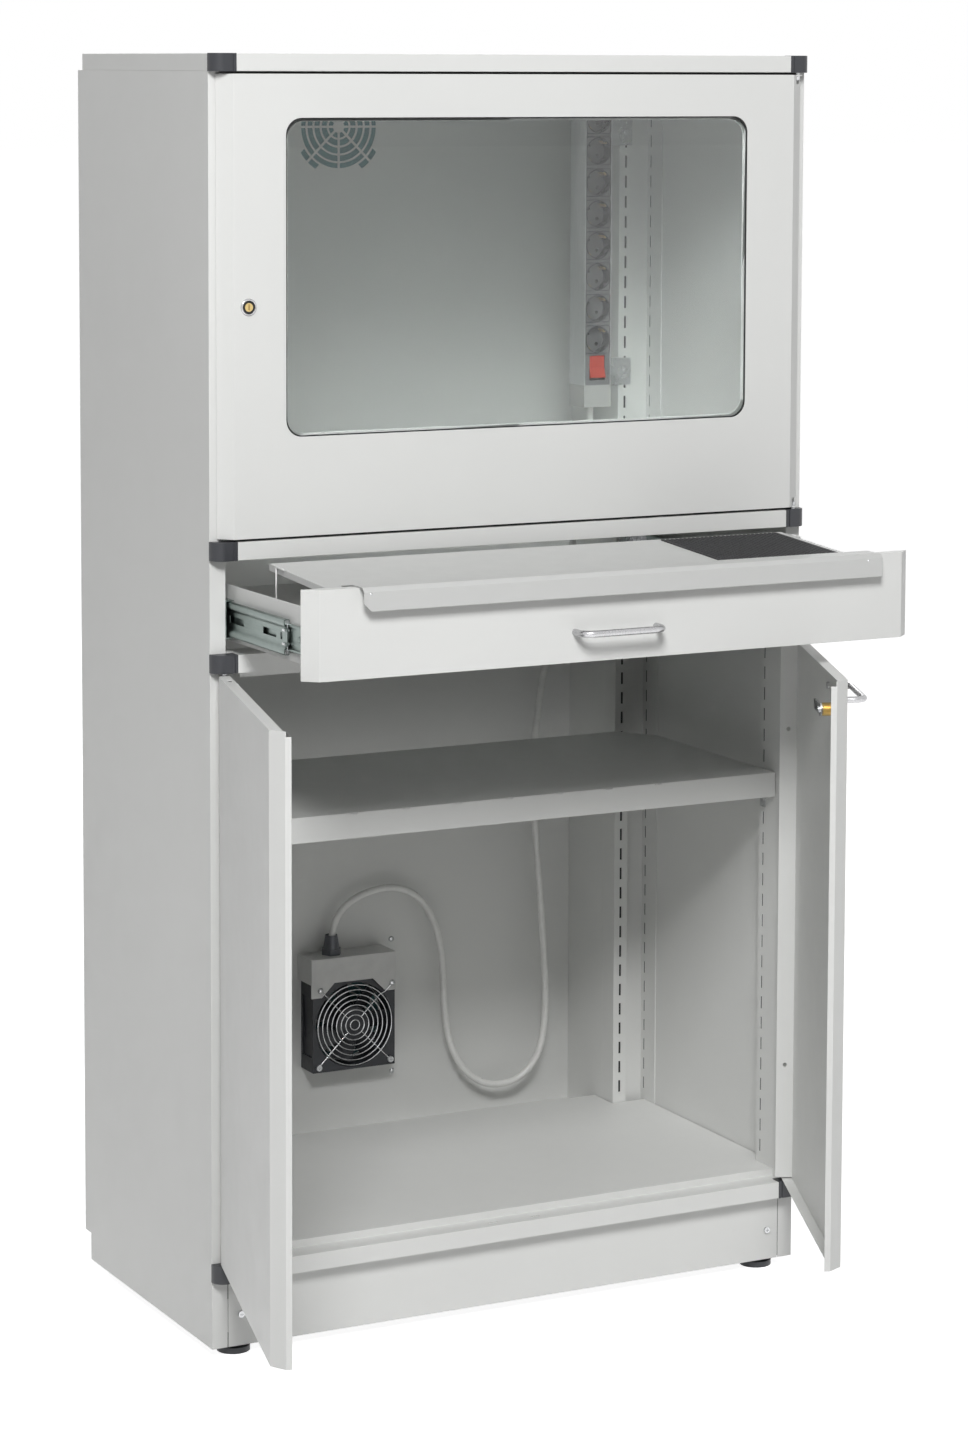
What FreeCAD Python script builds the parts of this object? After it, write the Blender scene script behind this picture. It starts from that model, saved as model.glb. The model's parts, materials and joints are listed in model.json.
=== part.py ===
import FreeCAD, Part

import math
import os
from FreeCAD import Vector as V

# A steel computer armoire: a glazed door over a monitor space, a keyboard drawer, and
# a pair of doors over a shelf, a ventilated rear cover and the computer's space.
# Millimetres, +Z up. While modelling, x = 0 is the middle of the width, y = 0 the side
# panels' front edge and z = 0 the ground; save() moves the origin between the four feet.
# Doors and drawer are modelled closed, then moved to the opening they rest at.

# overall size
WIDTH = 800.0
SIDE_DEPTH = 404.0
HEIGHT = 1530.0
FOOT_HEIGHT = 12.0
FRONT = 16.0            # doors, rails and drawer front stand this far before the sides
PANEL = 1.5             # sheet of the side panels and the cap
SHEET = 1.2             # all other sheet
FIT = 0.05              # radial room of a screw, pin or plug in its bore

# heights of the front
RAIL_HEIGHT = 21.0
BASE_RAIL_Z = 94.0
LOWER_OPENING = 702.0
DRAWER_OPENING = 110.0
STOP_DROP = 8.0         # strip below the lower rail that the right door locks behind
STOP_Y = 1.0
STOP_ROOM = 1.0
CAP_HEIGHT = 20.0
DOOR_GAP = 3.0
DRAWER_GAP = 4.0

# frame behind the front
RETURN = 20.0           # folded edge of a side panel, and width of a front upright
FRONT_POST_DEPTH = 55.0
REAR_POST_DEPTH = 59.0
REAR_WEB = 21.0         # rear upright's web, before the rear edge of the side
REAR_STEP = 10.0        # the slotted flange stands this far before that web
REAR_WEB_WIDTH = 29.0
SLOT_FLANGE_WIDTH = 20.0
FOOT_ZONE = 34.0        # height of the foot brackets and of the notch in the sides
SLOT_PITCH = 26.5
SLOT_LENGTH = 16.0
SLOT_WIDTH = 3.2
FIRST_SLOT = 146.0
SLOT_INSET = 9.0        # slot row from the rear edge of the flange it is in

# corner blocks and hinges
BLOCK_WIDTH = 30.0
BLOCK_PROUD = 1.0
BLOCK_CORNER = 15.0
BLOCK_RISE = 0.5
GROOVE_X = 4.5
GROOVE_WIDTH = 2.0
GROOVE_DEPTH = 1.2
PIVOT_INSET = 15.0
PIVOT_DEPTH = 8.0
PIN_RADIUS = 3.0
PIN_SEAT = 9.0
PIN_REACH = 9.0
PIN_ROOM = 0.08
EAR_RADIUS = 6.0
RELIEF_RADIUS = 4.4
RELIEF_HEIGHT = 10.0

# doors and drawer front
FRONT_INSET = 8.5       # door edges from the outside of the cabinet
BACK_GAP = 1.0          # a door's back edge from the side panels' front edge
BEVEL = 16.0
HINGE_EDGE = 4.5
MEETING_GAP = 3.0
INNER_LIP = 6.0         # the meeting edges reach this far behind the side panels' edge
RETURN_LIP = 12.5
WEB_INSET = 26.0
WEB_BACK = 6.7
WEB_HOLE_RADIUS = 2.5
LOW_WEB_HOLE = 148.0    # from the door's ends
HIGH_WEB_HOLE = 120.0
CORNER_CUT = 1.32       # end flanges keep this far from a bent edge
LEFT_OPEN = 105.0
RIGHT_OPEN = 67.0

# window in the upper door
WINDOW_HALF = 309.5
WINDOW_BOTTOM = 119.0   # above the middle rail
WINDOW_TOP = 53.5       # below the cap
WINDOW_CORNER = 20.0
SEAL_SHOWS = 1.5
SEAL = 1.0
GLASS = 4.0
GLASS_OVERLAP = 12.0

# cam locks
LOCK_FACE_RADIUS = 10.0
LOCK_PROUD = 1.5
LOCK_BODY_RADIUS = 8.0
LOCK_NUT = 24.0
LOCK_NUT_HEIGHT = 4.0
PLUG_RADIUS = 5.0
CAM_THICKNESS = 2.0
CAM_WIDTH = 12.0
UPPER_LOCK_INSET = 43.0
UPPER_LOCK_RISE = 271.0 # above the middle rail
UPPER_CAM_Y = 4.0
UPPER_CAM_LENGTH = 33.0
STRIKE_ROOM = 1.0       # before and beside the cam in its slot
STRIKE_BACK = 3.0       # behind it
RIGHT_LOCK_X = 66.0
RIGHT_LOCK_DROP = 46.0  # below the lower rail
RIGHT_CAM_Y = 6.5
RIGHT_CAM_LENGTH = 41.0

# bow handles
HANDLE_BAR = 8.0
HANDLE_PITCH = 106.0
HANDLE_REACH = 24.0
HANDLE_BEND = 14.0
DRAWER_HANDLE_X = -8.0
DRAWER_HANDLE_RISE = 35.0
DOOR_HANDLE_X = 87.0
DOOR_HANDLE_DROP = 30.0

# screws
SCREW_RADIUS = 2.0
HEAD_RADIUS = 4.0
HEAD_HEIGHT = 2.5
SCREW_LENGTH = 10.0
HANDLE_SCREW = 8.0

# drawer, its slides and the keyboard tray
DRAWER_OUT = 243.0
BOX_INSET = 33.0        # drawer box sides from the outside of the cabinet
BOX_BOTTOM = 12.0       # above the lower rail
BOX_HEIGHT = 65.6
BOX_REAR = 64.0         # from the closed box's length to the depth of the sides
SLIDE_RISE = 39.5       # slide centre above the lower rail
SLIDE_OUTER = 22.4      # half heights of the three members
SLIDE_MIDDLE = 20.8
SLIDE_INNER = 15.8
MIDDLE_SHARE = 0.64     # of the drawer's travel that the middle member makes
SLIDE_REAR = 64.0       # from the slides' length to the depth of the sides
SLIDE_TIPS = (5, 4, 12) # where the edges of outer, middle and inner member end, and where
CAGE_TIP = 13           # the cages end: in 26ths of the room between drawer box and upright
SLIDE_AIR = 4           # between the webs of the outer and the middle member, in 26ths
SLIDE_BRACKET_HALF = 20.0
BALL_CAGE = 3.5
TRAY_INSET = 22.0       # from the drawer box's outside
TRAY_LENGTH = 194.0
TRAY_FLANGE = 8.0
TRAY_REAR_DROP = 1.5    # highest point of the tray below the middle rail
TRAY_FRONT_DROP = 13.4
LIP_REACH = 14.0        # tray lip before the drawer front
LIP_HEIGHT = 27.0
LIP_LEFT = 12.0
LEDGE_ROOM = 0.4
MAT_LEFT = 170.0
MAT_THICKNESS = 1.5     # passes under the middle rail as the drawer shuts
MAT_RIB = 6.0
STAY_WIRE = 2.4
STAY_REAR = 175.0
STAY_HOOK = 22.0

# shelf
SHELF_TOP = 633.5
SHELF_THICKNESS = 31.0
SHELF_FRONT = 15.0
SHELF_BACK = 41.0
SHELF_CUT_X = 33.0
SHELF_CUT_Y = 50.0
SHELF_NOTCH_PITCH = 69.4
SHELF_NOTCHES = 7

# base and rear
FLOOR_STEP = 9.0        # the floor stands this high above the base rail
FLOOR_FLANGE = 20.0
LEDGE_DEPTH = 14.0
FLOOR_BACK = 16.0       # the floor reaches this far into the rear bulge
PLINTH_GAP = 1.0
PLINTH_SCREW_Z = 50.0
PLINTH_SCREW_INSET = 17.0
SILL_SLOT_X = 29.0      # slots in the door sill, each side of the middle
SIDE_ROOM = 0.3         # between a floor's edge and the uprights
FOOT_X = 38.0
FOOT_FRONT = 25.0
FOOT_REAR = 44.0
FOOT_PAD_RADIUS = 20.0
FOOT_PAD_HEIGHT = 9.0
FOOT_SOCKET = 5.0       # the spindle stands this high above the ground
FOOT_THREAD_RADIUS = 4.0
BRACKET_WIDTH = 56.0
BRACKET_LOW = 30.0      # lower and upper edge of the front brackets' flange
BRACKET_HIGH = 70.0
REAR_BRACKET_LOW = 15.0
BULGE_INSET = 50.0      # rear bulge from the outside of the cabinet
BULGE_DEPTH = 96.0
BULGE_UNDER = 24.0      # below the floor
BULGE_DROP = 10.0       # below the cap

# ventilation
VENT_DROP = 63.0        # below the top of the bulge
FAN_X = 5.0
FAN_RISE = 127.0        # above the floor
GRILLE_BANDS = ((8.0, 14.5), (17.0, 24.6), (27.4, 35.0), (37.6, 45.0), (47.6, 54.0))
GRILLE_CORNER = (56.6, 64.0)    # short bands outside the rings, at the diagonals only
GRILLE_CORNER_WIDTH = 30.0
SPOKE = 3.0
FILTER_HALF = 58.0
FILTER_THICKNESS = 6.0
GRILLE_HALF = 63.0
FAN_HALF = 59.8
FAN_DEPTH = 38.0
FAN_BORE = 56.5
FAN_SCREW = 52.4
HUB_RADIUS = 23.0
BLADE_TIP = 54.0
BLADES = 7
BLADE_PITCH = 35.0
BLADE_CHORD = 30.0
GUARD_RINGS = 8

# fan supply: junction box, gland and cord
JUNCTION_LEFT = 65.0    # from the fan's centre
JUNCTION_RIGHT = 58.0
JUNCTION_LOW = 42.5
JUNCTION_HIGH = 94.0
JUNCTION_NOTCH = 20.0
GLAND_LEFT = 25.0       # from the fan's centre
GLAND_TO_WALL = 20.0
GLAND_HEIGHT = 26.0
CORD = 9.0

# power strip
STRIP_INSET = 56.9      # from the row of slots behind it
STRIP_HALF = 20.0
STRIP_DEPTH = 40.0
STRIP_RISE = 102.0      # above the middle rail
STRIP_LENGTH = 429.0
STRIP_END = 29.0
SOCKETS = 8
SOCKET_PITCH = 41.1
FIRST_SOCKET = 89.0     # above the strip's lower end
SOCKET_RADIUS = 17.5
SOCKET_DEPTH = 15.0
SWITCH_RISE = 52.0      # above the strip's lower end
STRIP_SCREWS = (43.5, 360.0)
STRIP_CAP = 10.0
SWITCH_HALF = 14.5
SWITCH_HALF_WIDTH = 11.0
SWITCH_TILT = 8.0
SWITCH_ROOM = 0.5       # beside the rocker in its pocket
SWITCH_PIN = 1.5
SWITCH_PIN_REACH = 1.5  # pin's length beyond the rocker's side

# derived places
HALF = WIDTH / 2
POST = HALF - RETURN
RAIL_HALF = HALF + BLOCK_PROUD - BLOCK_WIDTH
PIVOT_X = HALF - PIVOT_INSET
DOOR_HALF = HALF - FRONT_INSET
BASE_RAIL_TOP = BASE_RAIL_Z + RAIL_HEIGHT
LOWER_RAIL_Z = BASE_RAIL_TOP + LOWER_OPENING
LOWER_RAIL_TOP = LOWER_RAIL_Z + RAIL_HEIGHT
MID_RAIL_Z = LOWER_RAIL_TOP + DRAWER_OPENING
MID_RAIL_TOP = MID_RAIL_Z + RAIL_HEIGHT
CAP_Z = HEIGHT - CAP_HEIGHT
DOOR_BOTTOM = BASE_RAIL_TOP + DOOR_GAP
DOOR_TOP = LOWER_RAIL_Z - DOOR_GAP
UPPER_DOOR_BOTTOM = MID_RAIL_TOP + DOOR_GAP
UPPER_DOOR_TOP = CAP_Z - DOOR_GAP
DRAWER_BOTTOM = LOWER_RAIL_TOP + DRAWER_GAP
DRAWER_TOP = MID_RAIL_Z - DRAWER_GAP
POST_BOTTOM = FOOT_HEIGHT + FOOT_ZONE
PLATE_SIDE = HALF - PANEL - SHEET - SIDE_ROOM
FLOOR_TOP = BASE_RAIL_TOP + FLOOR_STEP
PLINTH_TOP = BASE_RAIL_Z - PLINTH_GAP
PLINTH_SCREW_X = POST - PLINTH_SCREW_INSET
REAR_FOOT_Y = SIDE_DEPTH - FOOT_REAR
ORIGIN_Y = (FOOT_FRONT + REAR_FOOT_Y) / 2
WALL_Y = SIDE_DEPTH + BULGE_DEPTH
BULGE_HALF = HALF - BULGE_INSET
BULGE_BOTTOM = FLOOR_TOP - BULGE_UNDER
BULGE_TOP = CAP_Z - BULGE_DROP
REAR_FLANGE_Y = SIDE_DEPTH - REAR_WEB - REAR_STEP
REAR_SLOT_X = HALF - PANEL - SHEET / 2 - REAR_WEB_WIDTH - SLOT_FLANGE_WIDTH / 2
SKIN = -FRONT + SHEET   # inner face of the front sheets
UPPER_LOCK_Z = MID_RAIL_TOP + UPPER_LOCK_RISE
BOX_HALF = HALF - BOX_INSET
BOX_Z = LOWER_RAIL_TOP + BOX_BOTTOM
SLIDE_Z = LOWER_RAIL_TOP + SLIDE_RISE
SLIDE_LENGTH = SIDE_DEPTH - SLIDE_REAR
SLIDE_STEP = (POST - BOX_HALF) / 26
OUTER_TIP, MIDDLE_TIP, INNER_TIP = [BOX_HALF + SLIDE_STEP * steps for steps in SLIDE_TIPS]
BOX_LENGTH = SIDE_DEPTH - BOX_REAR
DRAWER_HANDLE_Z = DRAWER_BOTTOM + DRAWER_HANDLE_RISE
TRAY_HALF = BOX_HALF - TRAY_INSET
VENT_Z = BULGE_TOP - VENT_DROP
FAN_Z = FLOOR_TOP + FAN_RISE
FAN_FRONT = WALL_Y - FAN_DEPTH
JUNCTION_TOP = FAN_Z + JUNCTION_HIGH
GLAND_X = FAN_X - GLAND_LEFT
GLAND_Y = WALL_Y - GLAND_TO_WALL
STRIP_X = REAR_SLOT_X - STRIP_INSET
STRIP_BOTTOM = MID_RAIL_TOP + STRIP_RISE
STRIP_TOP = STRIP_BOTTOM + STRIP_LENGTH
STRIP_BODY_Z = STRIP_BOTTOM + STRIP_END
STRIP_BODY_TOP = STRIP_TOP - STRIP_CAP
STRIP_FRONT = SIDE_DEPTH - REAR_POST_DEPTH
STRIP_BACK = STRIP_FRONT + STRIP_DEPTH
CORD_ENTRY_Y = STRIP_FRONT + STRIP_DEPTH / 2
SWITCH_Z = STRIP_BOTTOM + SWITCH_RISE
SWITCH_Y = STRIP_FRONT + 8
STRIP_SCREW_HEIGHTS = [STRIP_BOTTOM + rise for rise in STRIP_SCREWS]


# ---- shapes ----

def box(x0, x1, y0, y1, z0, z1):
    """A block between two corners."""
    return Part.makeBox(x1 - x0, y1 - y0, z1 - z0, V(x0, y0, z0))


def along(axis, u, v, w):
    """The point at w on the axis, with u and v on the other two axes, in x, y, z order."""
    return {"x": V(w, u, v), "y": V(u, w, v), "z": V(u, v, w)}[axis]


def prism(axis, points, start, end):
    """A closed outline pushed along an axis."""
    corners = [along(axis, u, v, start) for u, v in points]
    face = Part.Face(Part.makePolygon(corners + corners[:1]))
    return face.extrude(along(axis, 0, 0, end - start))


def strip(axis, points, thickness, start, end):
    """A bent sheet whose one face follows the points. Its thickness lies to the left of
    the way along them, or to the right when negative."""
    normals = []
    for (u0, v0), (u1, v1) in zip(points, points[1:]):
        length = math.dist((u0, v0), (u1, v1))
        normals.append(((v0 - v1) / length, (u1 - u0) / length))
    other = []
    for i, (u, v) in enumerate(points):
        before = normals[max(i - 1, 0)]
        after = normals[min(i, len(normals) - 1)]
        reach = thickness / (1 + before[0] * after[0] + before[1] * after[1])
        other.append((u + (before[0] + after[0]) * reach, v + (before[1] + after[1]) * reach))
    return prism(axis, points + other[::-1], start, end)


def rod(axis, u, v, radius, start, end):
    """A round bar along an axis."""
    low, high = sorted((start, end))
    return Part.makeCylinder(radius, high - low, along(axis, u, v, low), along(axis, 0, 0, 1))


def polygon(u, v, sides, across, turn=0.0):
    """A regular outline, measured across its flats."""
    radius = across / 2 / math.cos(math.pi / sides)
    angles = [math.radians(turn) + 2 * math.pi * i / sides for i in range(sides)]
    return [(u + radius * math.cos(a), v + radius * math.sin(a)) for a in angles]


def fuse(*shapes):
    return shapes[0].fuse(list(shapes[1:])).removeSplitter()


def cut(shape, *tools):
    return shape.cut(list(tools))


def group(*shapes):
    return Part.makeCompound(list(shapes))


def mirrored(shape):
    return shape.mirror(V(0, 0, 0), V(1, 0, 0))


def rounded_slab(half, y0, y1, z0, z1, radius):
    """A plate across the width with its four corners rounded."""
    slab = box(-half, half, y0, y1, z0, z1)
    corners = [e for e in slab.Edges if abs(e.tangentAt(e.FirstParameter).y) > 0.9]
    return slab.makeFillet(radius, corners)


def tube_path(points, diameter, bend=None):
    """A round bar of straight runs joined by tangent arcs, its length and its bend radii.
    Without a given bend, each arc is as large as its two runs allow."""
    points = [V(*p) for p in points]
    ring = Part.Wire(Part.makeCircle(diameter / 2, V(0, 0, 0), V(0, 0, 1)))
    upright = V(0, 0, 1)

    def disc(centre, way):
        face = Part.Face(ring.copy())
        face.Placement = FreeCAD.Placement(centre, FreeCAD.Rotation(upright, way))
        return face

    pieces = []
    radii = []
    length = 0.0
    start = points[0]
    for before, corner, after in zip(points, points[1:], points[2:]):
        into = (corner - before).normalize()
        out = (after - corner).normalize()
        turn = into.getAngle(out)
        shorter = min((corner - before).Length, (after - corner).Length)
        radius = bend or 0.45 * shorter / math.tan(turn / 2)
        setback = radius * math.tan(turn / 2)
        arc_start = corner - into * setback
        axis = into.cross(out).normalize()
        centre = arc_start + axis.cross(into) * radius
        pieces.append(disc(start, into).extrude(arc_start - start))
        pieces.append(disc(arc_start, into).revolve(centre, axis, math.degrees(turn)))
        length += (arc_start - start).Length + radius * turn
        start = corner + out * setback
        radii.append(round(radius, 1))
    last = points[-1] - start
    pieces.append(disc(start, last).extrude(last))
    return fuse(*pieces), length + last.Length, radii


def screw(axis, u, v, seat, way, length=SCREW_LENGTH):
    """A cross-head screw: its head sits on the seat plane, its shank points way (1, -1)."""
    top = seat - way * HEAD_HEIGHT
    head = rod(axis, u, v, HEAD_RADIUS, seat, top)
    shank = rod(axis, u, v, SCREW_RADIUS, seat, seat + way * length)
    long, short = HEAD_RADIUS * 0.6, HEAD_RADIUS * 0.13
    low, high = sorted((top, top + way * HEAD_HEIGHT * 0.5))
    arms = []
    for half_u, half_v in ((long, short), (short, long)):
        corners = ((-1, -1), (1, -1), (1, 1), (-1, 1))
        outline = [(u + a * half_u, v + b * half_v) for a, b in corners]
        arms.append(prism(axis, outline, low, high))
    return cut(fuse(head, shank), *arms)


def screw_bore(axis, u, v, start, end):
    return rod(axis, u, v, SCREW_RADIUS + FIT, start, end)


def slot_heights():
    """Centres of the shelf slots: one pitch all the way up, none beside the drawer."""
    count = int((CAP_Z - FIRST_SLOT) / SLOT_PITCH)
    heights = [FIRST_SLOT + SLOT_PITCH * i for i in range(count)]
    return [z for z in heights if not LOWER_RAIL_Z - SLOT_LENGTH < z < MID_RAIL_TOP + SLOT_LENGTH]


def slot_row(x0, x1, y0, y1):
    half = SLOT_LENGTH / 2
    return [box(x0, x1, y0, y1, z - half, z + half) for z in slot_heights()]


def save(name, shape):
    """Write one node, with the origin moved to the middle of the four feet."""
    placed = shape.translated(V(0, -ORIGIN_Y, 0))
    if not placed.isValid():
        raise ValueError(name)
    placed.exportStep(f"parts/{name}.step")


# ---- case ----

def side_panel():
    """Right side: one sheet folded in at its front and rear edges."""
    outline = [(POST, 0), (HALF, 0), (HALF, SIDE_DEPTH), (POST, SIDE_DEPTH)]
    sheet = strip("z", outline, PANEL, FOOT_HEIGHT, CAP_Z)
    notch_y = SIDE_DEPTH - REAR_WEB + 2
    notch = box(POST - 1, HALF + 1, notch_y, SIDE_DEPTH + 1, FOOT_HEIGHT - 1, POST_BOTTOM)
    return cut(sheet, notch)


def front_upright():
    """Right front upright: a channel with a row of shelf slots in its web."""
    inside = HALF - PANEL
    outline = [(inside, PANEL), (POST, PANEL), (POST, FRONT_POST_DEPTH), (inside, FRONT_POST_DEPTH)]
    sheet = strip("z", outline, -SHEET, POST_BOTTOM, CAP_Z - PANEL)
    slot_y = FRONT_POST_DEPTH - SLOT_INSET
    half = SLOT_WIDTH / 2
    return cut(sheet, *slot_row(POST - 1, POST + 2, slot_y - half, slot_y + half))


def strike_slot():
    """Slot in the left front upright for the upper door's cam."""
    y0 = UPPER_CAM_Y - STRIKE_ROOM
    y1 = UPPER_CAM_Y + CAM_THICKNESS + STRIKE_BACK
    z0 = UPPER_LOCK_Z - UPPER_CAM_LENGTH
    z1 = UPPER_LOCK_Z + CAM_WIDTH
    return box(-POST - 3, -POST + 1, y0, y1, z0, z1)


def rear_upright():
    """Right rear upright: a stepped sheet with slots in its side and its front flange."""
    inside = HALF - PANEL
    side = inside - SHEET
    front = SIDE_DEPTH - REAR_POST_DEPTH
    web = SIDE_DEPTH - REAR_WEB
    step_x = side + SHEET / 2 - REAR_WEB_WIDTH
    outline = [(side, front), (side, web), (step_x, web), (step_x, REAR_FLANGE_Y),
               (step_x - SLOT_FLANGE_WIDTH, REAR_FLANGE_Y),
               (step_x - SLOT_FLANGE_WIDTH, SIDE_DEPTH)]
    sheet = strip("z", outline, -SHEET, POST_BOTTOM, CAP_Z - PANEL)
    half = SLOT_WIDTH / 2
    slot_y = web - SLOT_INSET + 1
    slot_x = step_x - SLOT_FLANGE_WIDTH / 2
    return cut(sheet, *slot_row(side - 1, inside + 0.01, slot_y - half, slot_y + half),
               *slot_row(slot_x - half, slot_x + half, REAR_FLANGE_Y - 1, REAR_FLANGE_Y + 2))


def bracket_bores(heights):
    """Screw holes through the right rear upright's front flange."""
    return [screw_bore("y", REAR_SLOT_X, z, REAR_FLANGE_Y - 1, REAR_FLANGE_Y + 2)
            for z in heights]


def rail_outline(half, back):
    """Plan of a rail between the corner blocks, widening behind them to the uprights."""
    return [(-RAIL_HALF, -FRONT), (RAIL_HALF, -FRONT), (RAIL_HALF, 0), (half, 0),
            (half, back), (-half, back), (-half, 0), (-RAIL_HALF, 0)]


def rail_face(z0, z1):
    return box(-RAIL_HALF, RAIL_HALF, -FRONT, SKIN, z0, z1)


def plate_outline(back, half_back):
    """Plan of a plate from the front face, round the front uprights, to the back."""
    side = PLATE_SIDE
    behind_post = FRONT_POST_DEPTH + 1
    right = [(RAIL_HALF, -FRONT), (RAIL_HALF, 0), (POST, 0), (POST, behind_post),
             (side, behind_post), (side, REAR_FLANGE_Y - 1)]
    right += [(half_back, REAR_FLANGE_Y - 1), (half_back, back)] if half_back else []
    return right + [(-x, y) for x, y in right[::-1]]


def top_cap():
    """The roof, with its skirts and its front face between the corner blocks."""
    back = SIDE_DEPTH - FRONT + 1
    roof = prism("z", rail_outline(HALF, back), HEIGHT - PANEL, HEIGHT)
    side = box(HALF - PANEL, HALF, 0, back, CAP_Z, HEIGHT - PANEL)
    rear = box(-HALF + PANEL, HALF - PANEL, back - PANEL, back, CAP_Z, HEIGHT - PANEL)
    face = box(-RAIL_HALF, RAIL_HALF, -FRONT, -FRONT + PANEL, CAP_Z, HEIGHT)
    under = box(-RAIL_HALF, RAIL_HALF, -FRONT, 0, CAP_Z, CAP_Z + SHEET)
    return fuse(roof, side, mirrored(side), rear, face, under)


def mid_divider():
    """Middle rail and the monitor's floor, one folded sheet."""
    plate = prism("z", plate_outline(0, 0), MID_RAIL_TOP - PANEL, MID_RAIL_TOP)
    face = rail_face(MID_RAIL_Z, MID_RAIL_TOP)
    under = box(-RAIL_HALF, RAIL_HALF, -FRONT, 0, MID_RAIL_Z, MID_RAIL_Z + SHEET)
    edge = PLATE_SIDE
    low = MID_RAIL_Z + SHEET
    side = box(edge - SHEET, edge, FRONT_POST_DEPTH + 3, REAR_FLANGE_Y - 33, low, MID_RAIL_TOP)
    back = REAR_FLANGE_Y - 1
    rear = box(-TRAY_HALF, TRAY_HALF, back - SHEET, back, low, MID_RAIL_TOP)
    stop = box(-POST + 2, POST - 2, 2, 2 + SHEET, MID_RAIL_TOP - PANEL, MID_RAIL_TOP + 11)
    return fuse(plate, face, under, side, mirrored(side), rear, stop)


def lower_rail():
    """Rail over the lower doors, with the strip that the right door's cam locks behind."""
    face = rail_face(LOWER_RAIL_Z, LOWER_RAIL_TOP)
    top = prism("z", rail_outline(POST, 30), LOWER_RAIL_TOP - SHEET, LOWER_RAIL_TOP)
    under = box(-RAIL_HALF, RAIL_HALF, -FRONT, STOP_Y + SHEET, LOWER_RAIL_Z, LOWER_RAIL_Z + SHEET)
    stop_end = PIVOT_X - WEB_INSET + 3
    stop = box(-stop_end, stop_end, STOP_Y, STOP_Y + SHEET,
               LOWER_RAIL_Z - STOP_DROP, LOWER_RAIL_Z + SHEET)
    return fuse(face, top, under, stop)


def base_floor():
    """Base rail, door sill and the cabinet's floor, one folded sheet."""
    face = rail_face(BASE_RAIL_Z, BASE_RAIL_TOP)
    under = box(-RAIL_HALF, RAIL_HALF, -FRONT, 0, BASE_RAIL_Z, BASE_RAIL_Z + SHEET)
    sill = prism("z", rail_outline(POST, LEDGE_DEPTH + SHEET), BASE_RAIL_TOP - SHEET, BASE_RAIL_TOP)
    step = box(-POST, POST, LEDGE_DEPTH, LEDGE_DEPTH + SHEET, BASE_RAIL_TOP - SHEET, FLOOR_TOP)
    reach = BULGE_HALF - SHEET - 1.3
    back = SIDE_DEPTH + FLOOR_BACK
    floor = prism("z", plate_outline(back, reach), FLOOR_TOP - SHEET, FLOOR_TOP)
    before_step = box(-POST, POST, -FRONT - 1, LEDGE_DEPTH, FLOOR_TOP - 2 * SHEET, FLOOR_TOP + 1)
    edge = PLATE_SIDE
    low = FLOOR_TOP - FLOOR_FLANGE
    side = box(edge - SHEET, edge, FRONT_POST_DEPTH + 3, REAR_FLANGE_Y - 33, low, FLOOR_TOP)
    rear = box(-reach, reach, back - SHEET, back, low, FLOOR_TOP)
    whole = fuse(face, under, sill, step, cut(floor, before_step), side, mirrored(side), rear)
    sill_slots = [box(x - 6, x + 6, -4, -1, BASE_RAIL_TOP - 3, BASE_RAIL_TOP + 1)
                  for x in (-SILL_SLOT_X, SILL_SLOT_X)]
    return cut(whole, *sill_slots)


def plinth(y0, y1, z1, bores):
    return cut(box(-POST + 1, POST - 1, y0, y1, FOOT_HEIGHT, z1), *bores)


def foot_bracket(foot_y, y0, y1, flange_y, flange_low, flange_high):
    """Right angle bracket that carries an upright and takes a foot."""
    inside = HALF - PANEL
    plate = box(inside - BRACKET_WIDTH, inside, y0, y1, POST_BOTTOM - 3, POST_BOTTOM)
    flange = box(inside - BRACKET_WIDTH, POST - 0.5, flange_y, flange_y + 3, flange_low, flange_high)
    hole = rod("z", HALF - FOOT_X, foot_y, FOOT_THREAD_RADIUS + FIT, 0, POST_BOTTOM + 30)
    return cut(fuse(plate, flange), hole)


def foot_pad(x, y):
    pad = rod("z", x, y, FOOT_PAD_RADIUS, 0, FOOT_PAD_HEIGHT - 2)
    boss = rod("z", x, y, FOOT_PAD_RADIUS * 0.6, 0, FOOT_PAD_HEIGHT)
    socket = rod("z", x, y, FOOT_THREAD_RADIUS + FIT, FOOT_SOCKET, FOOT_PAD_HEIGHT + 1)
    return cut(fuse(pad, boss), socket)


def foot_spindle(x, y):
    thread = rod("z", x, y, FOOT_THREAD_RADIUS, FOOT_SOCKET, POST_BOTTOM + 18)
    nut = prism("z", polygon(x, y, 6, 13), POST_BOTTOM - 9.5, POST_BOTTOM - 3)
    return fuse(thread, nut)


def rear_cover():
    """Back sheet with its top fold, and the deep bulge set into it that leaves room for
    plugs and the fan: a punched wall, two sides and two ends, joined edge to edge."""
    y = SIDE_DEPTH
    flange = box(-HALF + 2, HALF - 2, y, y + SHEET, POST_BOTTOM, CAP_Z)
    flange = cut(flange, box(-BULGE_HALF, BULGE_HALF, y - 1, y + 2, BULGE_BOTTOM, BULGE_TOP))
    top = box(-POST + 0.5, POST - 0.5, y - FRONT - 1, y, CAP_Z - SHEET, CAP_Z)
    wall = box(-BULGE_HALF, BULGE_HALF, WALL_Y, WALL_Y + SHEET, BULGE_BOTTOM, BULGE_TOP)
    wall = cut(wall, *punched_rings(0, VENT_Z), *punched_rings(FAN_X, FAN_Z), *fan_wall_bores())
    half = BULGE_HALF - SHEET
    side = box(half, BULGE_HALF, y, WALL_Y, BULGE_BOTTOM, BULGE_TOP)
    ends = [box(-half, half, y, WALL_Y, z, z + SHEET) for z in (BULGE_BOTTOM, BULGE_TOP - SHEET)]
    return group(fuse(flange, top), wall, side, mirrored(side), *ends)


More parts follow.
